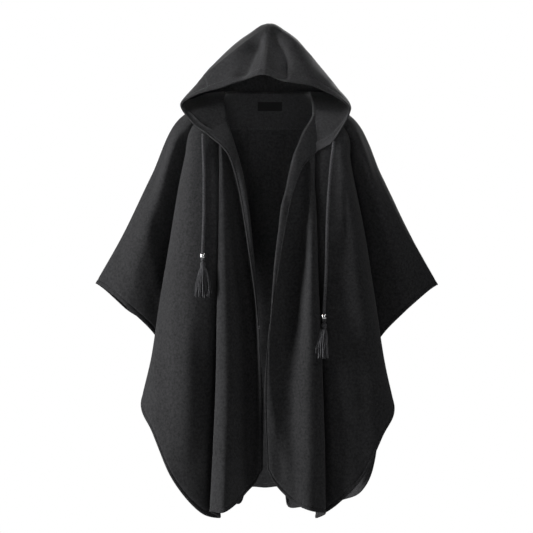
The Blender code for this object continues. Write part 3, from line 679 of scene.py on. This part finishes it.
def stitches(name, lines, material, length=3.4, pitch=4.4, radius=0.42):
    """Rows of sewing on lines of points, each line with the way out of the cloth at its points."""
    paths = []
    for line, ways in lines:
        run = run_of(line)
        starts = np.arange(pitch / 2, run[-1] - length, pitch)
        for start in starts:
            places = start + length * np.array((0.0, 0.22, 0.5, 0.78, 1.0))
            points = np.stack([np.interp(places, run, line[:, i]) for i in range(3)], axis=1)
            way = np.array([np.interp(start + length / 2, run, ways[:, i]) for i in range(3)])
            paths.append(points + np.array((-0.25, 0.1, 0.2, 0.1, -0.25))[:, None] * way)
    radii = [radius * np.array((0.5, 1.0, 1.0, 1.0, 0.5))] * len(paths)
    return tubes(name, paths, radii, 4, material)


# The cape.

def grown(distance, start, width):
    """0 up to a distance from an edge, then growing to 1 over a width."""
    return np.clip((distance - start) / width, 0, 1)


def groove(distance, at, half_width, depth):
    """A narrow channel in the cloth at a distance from an edge."""
    return -depth * np.exp(-(((distance - at) / half_width) ** 2))


def turned_edge(distance, stitch):
    """An edge turned under: the cloth a little fuller up to its row of stitches, which draws it in."""
    full = EDGE_FULLNESS * np.clip(np.sin(grown(distance, 0, stitch) * math.pi), 0, 1) ** 0.7
    return full + groove(distance, stitch, STITCH_CHANNEL, STITCH_DEPTH)


def through_cloth(line, ways):
    """A row of stitches on the outer face of the cloth, and the same row on its inner face."""
    line, ways = line[2:-2], ways[2:-2]
    return [(line, ways), (line - ways * (CLOTH - 2 * STITCH_DEPTH), -ways)]


def build_front(side, cape, wool, thread):
    """One front with its half sleeve. Its edge turns out as a soft lapel, stitched as its hem is."""
    right = side == "right"
    last = len(cape.lines) - 1
    first, end = (0, cape.right_seam) if right else (cape.left_seam, last)
    grid = cape.panel(first, end, CAPE_SPACING)
    grid = respaced(grid, 1, end=HEM_ROWS)
    starts, ends = (EDGE_ROWS, SEAM_ROWS) if right else (SEAM_ROWS, EDGE_ROWS)
    grid = respaced(grid, 0, start=starts, end=ends, spacing=FRONT_SPACING)
    normals = grid_normals(grid)
    relief = crease_heights(grid, normals, FRONT_CREASES, front=True)
    relief += drift_heights(grid, seed=3 if right else 4)
    from_start, from_finish = distances(grid, 0), distances_back(grid, 0)
    from_edge, from_seam = (from_start, from_finish) if right else (from_finish, from_start)
    relief = relief * grown(from_edge, *FROM_LAPEL) * grown(from_seam, *FROM_SEAM)
    sewn = turned_edge(from_edge, EDGE_STITCH) + turned_edge(distances_back(grid, 1), HEM_STITCH)
    pressed = groove(from_seam, 0, *PRESSED_SEAM)
    outer = grid + normals * (relief + sewn + pressed)[..., None]
    seam = "end" if right else "start"
    piece = shell("wool_front_" + side, outer, wool, inner_relief=2 * sewn, sewn_to=("top", seam))
    dress(piece, "wool_melton", "front_" + side)
    ways = grid_normals(outer)
    column = EDGE_ROWS.index(EDGE_STITCH)
    column = column if right else len(grid) - 1 - column
    row = -1 - HEM_ROWS.index(HEM_STITCH)
    lines = through_cloth(outer[column], ways[column]) + through_cloth(outer[:, row], ways[:, row])
    dress(stitches("sewing_front_" + side, lines, thread), "wool_melton")


def build_back(cape, wool, thread):
    """The back with both back half sleeves."""
    grid = cape.panel(cape.right_seam, cape.left_seam, BACK_SPACING)
    grid = respaced(grid, 1, end=HEM_ROWS, spacing=BACK_SPACING)
    grid = respaced(grid, 0, start=SEAM_ROWS, end=SEAM_ROWS, spacing=BACK_SPACING)
    normals = grid_normals(grid)
    relief = crease_heights(grid, normals, BACK_CREASES, front=False) + drift_heights(grid, seed=5)
    from_seam = np.minimum(distances(grid, 0), distances_back(grid, 0))
    calm = grown(from_seam, *FROM_SEAM) * grown(distances(grid, 1), *FROM_NECK)
    sewn = turned_edge(distances_back(grid, 1), HEM_STITCH)
    pressed = groove(from_seam, 0, *PRESSED_SEAM)
    outer = grid + normals * (relief * calm + sewn + pressed)[..., None]
    piece = shell("wool_back", outer, wool, inner_relief=2 * sewn, sewn_to=("top", "start", "end"))
    dress(piece, "wool_melton", "back_panel")
    row = -1 - HEM_ROWS.index(HEM_STITCH)
    lines = through_cloth(outer[:, row], grid_normals(outer)[:, row])
    dress(stitches("sewing_back", lines, thread), "wool_melton")


def build_facing(cape, facing_cloth, label_cloth, thread):
    """The facing inside the back neck, turned under and stitched at its lower edge."""
    margin = 2 / 3
    knots = cape.knots[cape.right_seam:cape.left_seam + 1]
    start = knots[0] + (knots[1] - knots[0]) * margin
    end = knots[-1] - (knots[-1] - knots[-2]) * margin
    across = np.linspace(start, end, 90)
    down = np.linspace(0, FACING_SHARE, 26)
    panel = cape.surface(across, down)
    normals = grid_normals(panel)
    face = panel - normals * (CLOTH + LAYER_GAP)
    face = respaced(face, 1, end=FACING_HEM_ROWS, spacing=4.0)
    ways = -grid_normals(face)
    channel = groove(distances_back(face, 1), FACING_STITCH, *FACING_CHANNEL)
    inside = face + ways * (FACING_CLOTH + channel)[..., None]
    piece = shell("facing_back_neck", inside[::-1], facing_cloth, thickness=FACING_CLOTH)
    dress(piece, "facing_cloth", "back_neck_facing")
    row = -1 - FACING_HEM_ROWS.index(FACING_STITCH)
    lines = [(inside[2:-2, row], ways[2:-2, row])]
    dress(stitches("sewing_facing", lines, thread), "facing_cloth")
    build_label(inside, ways, label_cloth, thread)


def build_label(inside, ways, cloth, thread):
    """A blank woven label, folded under at its ends and sewn along them."""
    flat, out = inside.reshape(-1, 3), ways.reshape(-1, 3)
    xs = np.linspace(-0.5, 0.5, 30) * LABEL_SIZE[0] + LABEL_CENTRE[0]
    zs = np.linspace(0.5, -0.5, 14) * LABEL_SIZE[1] + LABEL_CENTRE[1]
    places = np.stack(np.meshgrid(xs, zs, indexing="ij"), axis=-1)
    weights = np.exp(-((places[:, :, None] - flat[None, None][..., (0, 2)]) ** 2).sum(axis=-1) / 18.0)
    weights /= weights.sum(axis=-1, keepdims=True)
    y = (weights * (flat + out * LAYER_GAP)[:, 1]).sum(axis=-1)
    back = np.stack((places[..., 0], y, places[..., 1]), axis=-1)
    ends = np.minimum(np.abs(places[..., 0] - xs[0]), np.abs(places[..., 0] - xs[-1]))
    puff = LABEL_FOLD[1] * np.clip(1 - ends / LABEL_FOLD[0], 0, 1) ** 0.5
    face = back - np.array((0, 1, 0)) * (LABEL_CLOTH + puff)[..., None]
    piece = shell("label_blank", face, cloth, thickness=LABEL_CLOTH)
    dress(piece, "label_cloth", "neck_label")
    forward = np.tile((0.0, -1.0, 0.0), (14, 1))
    lines = [(face[2], forward), (face[-3], forward)]
    dress(stitches("sewing_label", lines, thread, length=1.6, pitch=2.4, radius=0.2), "label_cloth")


# The hood.

def build_hood(hood, wool, casing_cloth, thread):
    """Two halves sewn along the top, and inside each face edge the casing for the drawcord."""
    for side, right in (("right", True), ("left", False)):
        grid = hood.half(right, HOOD_SPACING)
        grid = respaced(grid, 1, start=SEAM_ROWS, end=SEAM_ROWS, spacing=HOOD_SPACING)
        grid = respaced(grid, 0, start=SEAM_ROWS, end=CASING_ROWS, spacing=HOOD_SPACING)
        normals = grid_normals(grid)
        relief = hood_creases(grid, HOOD_FINE_CREASES) + hood_creases(grid, HOOD_FOLDS)
        relief += 0.6 * drift_heights(grid, seed=7 if right else 8)
        from_edge = distances_back(grid, 0)
        from_top = distances_back(grid, 1) if right else distances(grid, 1)
        relief = relief * np.maximum(grown(from_edge, *FROM_SEAM), BRIM_SHARE)
        relief = relief * grown(from_top, *FROM_HOOD_TOP)
        sewn = groove(from_edge, CASING_WIDTH, *CASING_CHANNEL)
        plump = CASING_FULLNESS * np.clip(np.sin(grown(from_edge, 0, CASING_WIDTH) * math.pi), 0, 1)
        pressed = groove(from_top, 0, *HOOD_TOP_SEAM)
        outer = grid + normals * (relief + sewn + plump + pressed)[..., None]
        piece = shell("wool_hood_" + side, outer, wool, sewn_to=("top", "foot", "start"))
        dress(piece, "wool_melton", "hood_" + side)
        ways = grid_normals(outer)
        face = outer - ways * (CLOTH + LAYER_GAP)
        inward = ways[-len(CASING_ROWS):]
        band = face[-len(CASING_ROWS):] - inward * FACING_CLOTH
        trim = shell("casing_" + side, band[::-1], casing_cloth, thickness=CASING_CLOTH)
        dress(trim, "facing_cloth", "hood_casing_" + side)
        column = len(grid) - 1 - CASING_ROWS.index(CASING_WIDTH)
        lines = [
            (outer[column, 2:-2], ways[column, 2:-2]),
            (band[2, 2:-2], -inward[2, 2:-2]),
        ]
        dress(stitches("sewing_hood_" + side, lines, thread), "wool_melton")


# Drawcords.

def braid(name, path, material):
    """A round braid of eight strands, four turning each way, round the points of a cord's centre line."""
    strand, middle, weave, pitch, step = 1.3, 2.5, 0.55, 32.0, 1.6
    run = run_of(path)
    places = np.linspace(0, run[-1], int(run[-1] / step) + 1)
    centre = smooth(run, path, places)
    along = unit(np.gradient(centre, axis=0))
    first = unit(np.cross(along, np.array((0.0, 1.0, 0.0))))
    second = np.cross(along, first)
    paths, ups = [], []
    for turn in (1, -1):
        for k in range(4):
            angle = turn * math.tau * places / pitch + math.tau * (k + (0.5 if turn < 0 else 0)) / 4
            lift = turn * weave * np.cos(math.pi * (places / (pitch / 8) - 0.5))
            out = np.cos(angle)[:, None] * first + np.sin(angle)[:, None] * second
            paths.append(centre + out * (middle + lift)[:, None])
            ups.append(out)
    paths.append(centre)
    ups.append(first)
    radii = [strand] * 8 + [middle - 1.2]
    return tubes(name, paths, radii, 8, material, flatten=0.75, ups=ups)


def build_bead(side, centre, metal):
    """An oblate metal bead with a rounded mouth at each end of its bore."""
    bore, half = CORD_DIAMETER / 2 + 0.3, BEAD_HEIGHT / 2
    turns = np.radians(np.linspace(68, -68, 21))
    bulge = BEAD_DIAMETER / 2 - bore
    profile = [(bore + out, half * rise) for out, rise in BEAD_MOUTH]
    steepest = math.sin(turns[0])
    rounds = bore + 0.5 + (bulge - 0.5) * np.cos(turns) ** 0.8
    profile += list(zip(rounds, half * np.sin(turns) / steepest))
    profile += [(bore + out, -half * rise) for out, rise in BEAD_MOUTH[::-1]]
    profile = np.array(profile)
    angles = np.linspace(0, math.tau, 48, endpoint=False)
    ring = np.stack([
        np.outer(profile[:, 0], np.cos(angles)),
        np.outer(profile[:, 0], np.sin(angles)),
        np.repeat(profile[:, 1:], len(angles), axis=1),
    ], axis=-1)
    at = np.arange(ring.shape[0] * ring.shape[1]).reshape(ring.shape[:2])
    below, after = np.roll(at, -1, axis=0), np.roll(at, -1, axis=1)
    corner = np.roll(below, -1, axis=1)
    faces = np.stack((at, below, corner, after), axis=-1).reshape(-1, 4)
    piece = build_mesh("bead_silver_" + side, ring.reshape(-1, 3) + centre, [faces], metal)
    return dress(piece, "bead_metal", "bead_" + side)


def build_knot(side, centre, yarn):
    """The cord's end tied over itself under the bead."""
    t = np.linspace(0, math.tau, 97)[:-1]
    loop = np.stack((
        (np.sin(t) + 2 * np.sin(2 * t)) / 3,
        (np.cos(t) - 2 * np.cos(2 * t)) / 3,
        -np.sin(3 * t),
    ), axis=1)
    yarn_radius, core_radius, inset = 1.85, 2.6, 1.9
    reach = np.array((KNOT_DIAMETER, KNOT_DIAMETER, KNOT_HEIGHT)) / 2 - inset
    loop = np.concatenate((loop, loop[:1])) * reach + centre
    end = KNOT_HEIGHT / 2 - 0.2
    core = np.array([centre + (0, 0, z) for z in np.linspace(end, -end, 7)])
    piece = tubes("knot_yarn_" + side, [loop, core], [yarn_radius, core_radius], 10, yarn)
    return dress(piece, "cord_yarn", "knot_" + side)


# A tassel's strands are gathered in a head, then bound, then hang free. Shares are of
# the tassel's length, and widths are half the width of the strands there.
TASSEL_HEAD = ((0.0, 1.2), (0.05, 4.6), (0.10, 5.6), (0.14, 4.4), (0.19, 4.6))
TASSEL_SHARES = (0.28, 0.38, 0.48, 0.58, 0.68, 0.78, 0.88, 0.95, 1.0)
STRANDS = 96
STRAND_STEPS = 34
BINDING_TURNS = 3
BINDING_SHARE = 0.145
BINDING_WIDTH = 4.9


def strand_points(root, ends, length, swing, wave, share):
    """One strand from the top of the head down to its end, with the curl it has on its way."""
    bound_at, bound_width = TASSEL_HEAD[-1]
    points = [(*(root * width), -down * length) for down, width in TASSEL_HEAD]
    for down in TASSEL_SHARES:
        part = (down - bound_at) / (1 - bound_at)
        flat = root * bound_width * (1 - part) + ends * (part ** 0.6)
        flat = flat + swing * part * np.sin(wave + part * (7 + 3 * share))
        points.append((flat[0], flat[1], -down * length))
    return smooth(np.arange(len(points)), points, np.linspace(0, len(points) - 1, STRAND_STEPS))


def build_tassel(side, top, yarn, seed):
    """Strands of soft yarn bound under a small head, that hang in bunches with gaps between."""
    draws = np.random.default_rng(seed)
    width, lean = TASSEL_WIDTHS[side], TASSEL_LEANS[side]
    paths, radii, bunches = [], [], {}
    steps = np.linspace(0, 1, STRAND_STEPS)
    for k in range(STRANDS):
        share = math.sqrt((k + 0.5) / STRANDS)
        angle = k * math.pi * (3 - math.sqrt(5))
        root = np.array((math.cos(angle), math.sin(angle))) * share
        length = TASSEL_LENGTH * (1 - 0.16 * draws.random() * share)
        ends = root * (width / 2 - 1.6, TASSEL_DEPTH / 2)
        number = round(ends[0] / BUNCH_WIDTH)
        if number not in bunches:
            centre = (number + draws.uniform(-0.25, 0.25)) * BUNCH_WIDTH
            bunches[number] = centre, draws.uniform(-2.5, 2.5), draws.uniform(0, math.tau, 2)
        centre, forward, wave = bunches[number]
        ends = np.array((centre + 0.35 * (ends[0] - centre), ends[1] + forward)) + lean
        swing = draws.uniform(0.5, 1.5)
        paths.append(strand_points(root, ends, length, swing, wave, share) + top)
        lumps = 1 + 0.16 * np.sin(steps * draws.uniform(30, 50) + wave[0])
        taper = np.clip((1.04 - steps) * 12, 0.3, 1)
        radii.append(draws.uniform(0.75, 1.15) * lumps * taper)
    t = np.linspace(0, math.tau, 33)
    for i in range(BINDING_TURNS):
        height = np.full(len(t), -BINDING_SHARE * TASSEL_LENGTH + 1.1 * (1 - i))
        paths.append(np.stack((BINDING_WIDTH * np.cos(t), BINDING_WIDTH * np.sin(t), height), axis=1) + top)
        radii.append(0.7)
    piece = tubes("tassel_yarn_" + side, paths, radii, 5, yarn)
    return dress(piece, "tassel_yarn", "tassel_" + side)


def build_drawcord(side, route, looks, seed):
    """A drawcord that leaves the casing and hangs down the front to its bead, knot and tassel."""
    steps = np.linspace(0, len(route) - 1, 161)
    path = smooth(range(len(route)), route, steps)
    end = np.array(route[-1], float)
    cord = dress(braid("cord_" + side, path, looks["cord"]), "cord_yarn", "drawcord_" + side)
    bead = build_bead(side, end + (0, 0, BEAD_HEIGHT / 2 - 0.5), looks["metal"])
    knot_centre = end - (0, 0, 0.3 + KNOT_HEIGHT / 2)
    knot = build_knot(side, knot_centre, looks["cord"])
    tassel = build_tassel(side, knot_centre - (0, 0, 0.3 + KNOT_HEIGHT / 2), looks["tassel"], seed)


# Materials.

class Net:
    """Short hands for the nodes of one tree."""

    def __init__(self, tree):
        self.tree = tree

    def add(self, kind, inputs=(), **settings):
        node = self.tree.nodes.new(kind)
        for name, value in settings.items():
            setattr(node, name, value)
        for label, value in dict(inputs).items():
            socket = node.inputs[label]
            if isinstance(value, bpy.types.NodeSocket):
                self.tree.links.new(value, socket)
            else:
                socket.default_value = value
        return node

    def math(self, operation, a, b=0.0, clamp=False):
        return self.add("ShaderNodeMath", {0: a, 1: b}, operation=operation, use_clamp=clamp).outputs[0]

    def mapped(self, value, low, high, to_low, to_high):
        inputs = {"Value": value, "From Min": low, "From Max": high, "To Min": to_low, "To Max": to_high}
        return self.add("ShaderNodeMapRange", inputs).outputs["Result"]

    def noise(self, place, scale, detail=2.0, roughness=0.5):
        inputs = {"Vector": place, "Scale": scale, "Detail": detail, "Roughness": roughness}
        return self.add("ShaderNodeTexNoise", inputs).outputs["Fac"]

    def wave(self, place, scale, way):
        inputs = {"Vector": place, "Scale": scale, "Distortion": 0.3}
        return self.add("ShaderNodeTexWave", inputs, bands_direction=way).outputs["Fac"]


MOTTLE = 170.0          # tufts to the metre
NAP_INPUTS = {"Clumps": 420.0, "Fibres": 1500.0, "Tone": 0.25}


def make_nap_group():
    """Felted nap: matted clumps, fine fibres that lie down the cloth, and a soft unevenness in tone."""
    group = bpy.data.node_groups.new("felted_nap", "ShaderNodeTree")
    for label, value in NAP_INPUTS.items():
        socket = group.interface.new_socket(name=label, in_out="INPUT", socket_type="NodeSocketFloat")
        socket.default_value = value
    for label in ("Shade", "Height", "Wear"):
        group.interface.new_socket(name=label, in_out="OUTPUT", socket_type="NodeSocketFloat")
    net = Net(group)
    start = net.add("NodeGroupInput").outputs
    place = net.add("ShaderNodeTexCoord").outputs["Object"]
    brushed = net.add("ShaderNodeMapping", {"Vector": place, "Scale": (1.0, 1.0, 0.45)}).outputs["Vector"]
    clumps = net.noise(brushed, start["Clumps"], 3.0, 0.6)
    fibres = net.noise(brushed, start["Fibres"], 2.0, 0.6)
    mottle = net.noise(place, MOTTLE, 3.0, 0.7)
    drift = net.noise(place, 9.0, 2.0, 0.5)
    height = net.math("ADD", net.math("MULTIPLY", clumps, 0.6), net.math("MULTIPLY", fibres, 0.4))
    grain = net.mapped(height, 0.32, 0.68, -0.8, 0.8)
    coarse = net.mapped(mottle, 0.32, 0.68, -1.1, 1.1)
    soft = net.math("ADD", coarse, net.mapped(drift, 0.3, 0.7, -0.3, 0.3))
    shade = net.math("ADD", 1.0, net.math("MULTIPLY", net.math("ADD", grain, soft), start["Tone"]))
    wear = net.mapped(drift, 0.3, 0.7, 0.0, 1.0)
    net.add("NodeGroupOutput", {"Shade": shade, "Height": height, "Wear": wear})
    return group


def new_material(name, roughness, sheen=0.0, metallic=0.0, specular=0.5):
    material = bpy.data.materials.new(name)
    material.use_nodes = True
    shader = material.node_tree.nodes["Principled BSDF"]
    shader.inputs["Roughness"].default_value = roughness
    shader.inputs["Metallic"].default_value = metallic
    shader.inputs["Specular IOR Level"].default_value = specular
    shader.inputs["Sheen Weight"].default_value = sheen
    shader.inputs["Sheen Roughness"].default_value = 0.45
    return material, Net(material.node_tree), shader


def tinted(net, color, shade):
    """The colour, brighter or darker by a shade that changes over the surface."""
    scaled = net.add("ShaderNodeVectorMath", {0: (*color,), "Scale": shade}, operation="SCALE")
    return scaled.outputs["Vector"]


def lay(net, shader, color, height, strength, depth):
    """Give the shader its colour, and a grain that stands out by so many metres."""
    bump = net.add("ShaderNodeBump", {"Height": height, "Strength": strength, "Distance": depth})
    net.tree.links.new(color, shader.inputs["Base Color"])
    net.tree.links.new(bump.outputs["Normal"], shader.inputs["Normal"])


def wool_finish(nap):
    """Charcoal melton: matt and dense, with a nap that catches the light on its turns."""
    material, net, shader = new_material("melton_charcoal", 0.92, sheen=0.08, specular=0.15)
    inputs = {"Clumps": 430.0, "Fibres": 1600.0, "Tone": 0.30}
    felt = net.add("ShaderNodeGroup", inputs, node_tree=nap).outputs
    lay(net, shader, tinted(net, (0.030, 0.030, 0.0315), felt["Shade"]), felt["Height"], 0.55, 0.0009)
    net.tree.links.new(net.mapped(felt["Wear"], 0, 1, 0.86, 0.98), shader.inputs["Roughness"])
    return material


def facing_finish(nap):
    """The facing and the casing: the same wool, brushed less, so that it looks a little lighter."""
    material, net, shader = new_material("facing_charcoal", 0.9, sheen=0.15, specular=0.15)
    inputs = {"Clumps": 600.0, "Fibres": 2100.0, "Tone": 0.22}
    felt = net.add("ShaderNodeGroup", inputs, node_tree=nap).outputs
    lay(net, shader, tinted(net, (0.038, 0.038, 0.040), felt["Shade"]), felt["Height"], 0.4, 0.0006)
    return material


def label_finish():
    """Woven tape: fine crosswise ribs with a slight gloss."""
    material, net, shader = new_material("label_black", 0.7, specular=0.2)
    place = net.add("ShaderNodeTexCoord").outputs["Object"]
    ribs = net.wave(place, 420.0, "Z")
    threads = net.wave(place, 300.0, "X")
    weave = net.math("MULTIPLY", ribs, net.mapped(threads, 0, 1, 0.6, 1.0))
    color = tinted(net, (0.007, 0.007, 0.0075), net.mapped(weave, 0, 1, 0.7, 1.3))
    lay(net, shader, color, weave, 0.5, 0.0002)
    return material


def yarn_finish(name, color, scale, tone):
    """Spun yarn: fine fibres with specks of light and dark, partly the yarn's own tone and partly painted
    glints on its strands and painted shade between them.
    """
    material, net, shader = new_material(name, 0.75, sheen=0.35, specular=0.3)
    place = net.add("ShaderNodeTexCoord").outputs["Object"]
    fibres = net.noise(place, scale, 3.0, 0.65)
    # coarser specks: painted glints and painted shade of the strands, over the yarn's own tone
    flecks_and_glints = net.noise(place, scale * 0.3, 2.0, 0.5)
    both = net.math("ADD", net.math("MULTIPLY", fibres, 0.6), net.math("MULTIPLY", flecks_and_glints, 0.4))
    shade = net.mapped(both, 0.35, 0.65, 1 - tone, 1 + tone)
    lay(net, shader, tinted(net, color, shade), fibres, 0.6, 0.0004)
    return material


def metal_finish():
    """Polished silver-coloured metal with faint scuffs."""
    material, net, shader = new_material("bead_silver", 0.16, metallic=1.0)
    place = net.add("ShaderNodeTexCoord").outputs["Object"]
    scuffs = net.noise(place, 900.0, 3.0, 0.6)
    net.tree.links.new(net.mapped(scuffs, 0.3, 0.7, 0.08, 0.26), shader.inputs["Roughness"])
    color = tinted(net, (0.86, 0.86, 0.87), net.mapped(scuffs, 0.3, 0.7, 0.94, 1.0))
    net.tree.links.new(color, shader.inputs["Base Color"])
    return material


# The studio.

PHOTO_SIZE = 533               # pixels each way
PHOTO_SCALE = 0.00236          # metres for each pixel at the garment
PHOTO_ORIGIN = (267, 93)       # the pixel where the origin lies
CAMERA_DISTANCE = 16.0
FLOOR_HEIGHT = -1.42           # as far below the neck seam as when the garment is worn


def add_camera():
    """A long lens straight in front, framed as in the photo."""
    data = bpy.data.cameras.new("camera")
    camera = bpy.data.objects.new("camera", data)
    bpy.context.scene.collection.objects.link(camera)
    x = (PHOTO_SIZE / 2 - PHOTO_ORIGIN[0]) * PHOTO_SCALE
    z = (PHOTO_ORIGIN[1] - PHOTO_SIZE / 2) * PHOTO_SCALE
    camera.location = (x, -CAMERA_DISTANCE, z)
    camera.rotation_euler = (math.pi / 2, 0, 0)
    data.sensor_width = 36.0
    data.lens = data.sensor_width * CAMERA_DISTANCE / (PHOTO_SIZE * PHOTO_SCALE)
    data.clip_end = 100.0
    bpy.context.scene.camera = camera


def add_light(name, place, target, size, watts, spread):
    """A soft box with a grid, which keeps its light to a cone of so many degrees."""
    data = bpy.data.lights.new(name, "AREA")
    data.shape = "RECTANGLE"
    data.size, data.size_y = size
    data.energy = watts
    data.spread = math.radians(spread)
    lamp = bpy.data.objects.new(name, data)
    lamp.location = place
    lamp.rotation_euler = (Vector(target) - Vector(place)).to_track_quat("-Z", "Y").to_euler()
    bpy.context.scene.collection.objects.link(lamp)


def add_floor():
    """A pale round floor far below the hem."""
    mesh = bpy.data.meshes.new("floor")
    disc = bmesh.new()
    bmesh.ops.create_circle(disc, cap_ends=True, segments=96, radius=3.5)
    disc.to_mesh(mesh)
    disc.free()
    material, net, shader = new_material("floor_pale", 0.9)
    shader.inputs["Base Color"].default_value = (0.8, 0.8, 0.8, 1.0)
    glow = net.add("ShaderNodeEmission", {"Color": (1.0, 1.0, 1.0, 1.0), "Strength": 0.85}).outputs[0]
    ray = net.add("ShaderNodeLightPath").outputs["Is Camera Ray"]
    share = net.math("MULTIPLY", ray, 0.8)
    mixed = net.add("ShaderNodeMixShader", {0: share, 1: shader.outputs[0], 2: glow}).outputs[0]
    net.tree.links.new(mixed, net.tree.nodes["Material Output"].inputs["Surface"])
    mesh.materials.append(material)
    floor = bpy.data.objects.new("floor", mesh)
    floor.location.z = FLOOR_HEIGHT
    bpy.context.scene.collection.objects.link(floor)


def add_world(ambient):
    """White behind the garment, and a dimmer even light all round it."""
    world = bpy.data.worlds.new("studio")
    world.use_nodes = True
    bpy.context.scene.world = world
    net = Net(world.node_tree)
    world.node_tree.nodes.clear()
    seen = net.add("ShaderNodeBackground", {"Color": (1.0, 1.0, 1.0, 1.0), "Strength": 1.0}).outputs[0]
    fill = net.add("ShaderNodeBackground", {"Color": (1.0, 1.0, 1.0, 1.0), "Strength": ambient}).outputs[0]
    ray = net.add("ShaderNodeLightPath").outputs["Is Camera Ray"]
    mixed = net.add("ShaderNodeMixShader", {0: ray, 1: fill, 2: seen}).outputs[0]
    net.add("ShaderNodeOutputWorld", {"Surface": mixed})


def light_studio():
    bpy.context.scene.view_settings.view_transform = "Standard"
    add_world(ambient=0.006)
    middle = (0.0, 0.0, -0.4)
    add_light("key", (-4.2, -1.5, 0.1), middle, (1.2, 3.0), 40.0, 60)
    add_light("fill", (1.5, -4.2, 0.1), middle, (1.6, 2.4), 2.0, 60)
    add_light("hood", (-0.9, -1.4, 1.1), (0.10, -0.07, 0.06), (0.15, 0.15), 0.08, 12)
    add_light("neck", (-0.2, -2.0, -0.1), (0.0, 0.1, 0.0), (0.4, 0.3), 0.26, 30)
    add_light("right", (2.9, -1.4, 2.2), (0.0, 0.0, -0.3), (1.2, 1.2), 2.6, 60)
    add_light("back", (0.8, 4.3, 1.5), middle, (2.0, 2.4), 45.0, 70)


poncho = bpy.data.collections.new("hooded_poncho")
bpy.context.scene.collection.children.link(poncho)

add_camera()
light_studio()
add_floor()

nap = make_nap_group()
looks = {
    "wool": wool_finish(nap),
    "facing": facing_finish(nap),
    "label": label_finish(),
    # the strong speck contrast of cord and tassel is partly painted glints and painted shade of their
    # strands, partly the yarn's own tone
    "cord": yarn_finish("cord_charcoal", (0.048, 0.048, 0.052), 900.0, 0.85),
    "tassel": yarn_finish("tassel_charcoal", (0.055, 0.055, 0.060), 900.0, 0.7),
    # the thread is real; its colour, far darker than the cloth, is painted shade of the stitched grooves
    "thread": yarn_finish("sewing_thread", (0.008, 0.008, 0.009), 1800.0, 0.2),
    "metal": metal_finish(),
}

for seed, (side, route) in enumerate((("right", CORD_RIGHT), ("left", CORD_LEFT))):
    build_drawcord(side, route, looks, seed)

cape = Cape()
for side in ("right", "left"):
    build_front(side, cape, looks["wool"], looks["thread"])
build_back(cape, looks["wool"], looks["thread"])
build_facing(cape, looks["facing"], looks["label"], looks["thread"])
build_hood(Hood(), looks["wool"], looks["facing"], looks["thread"])
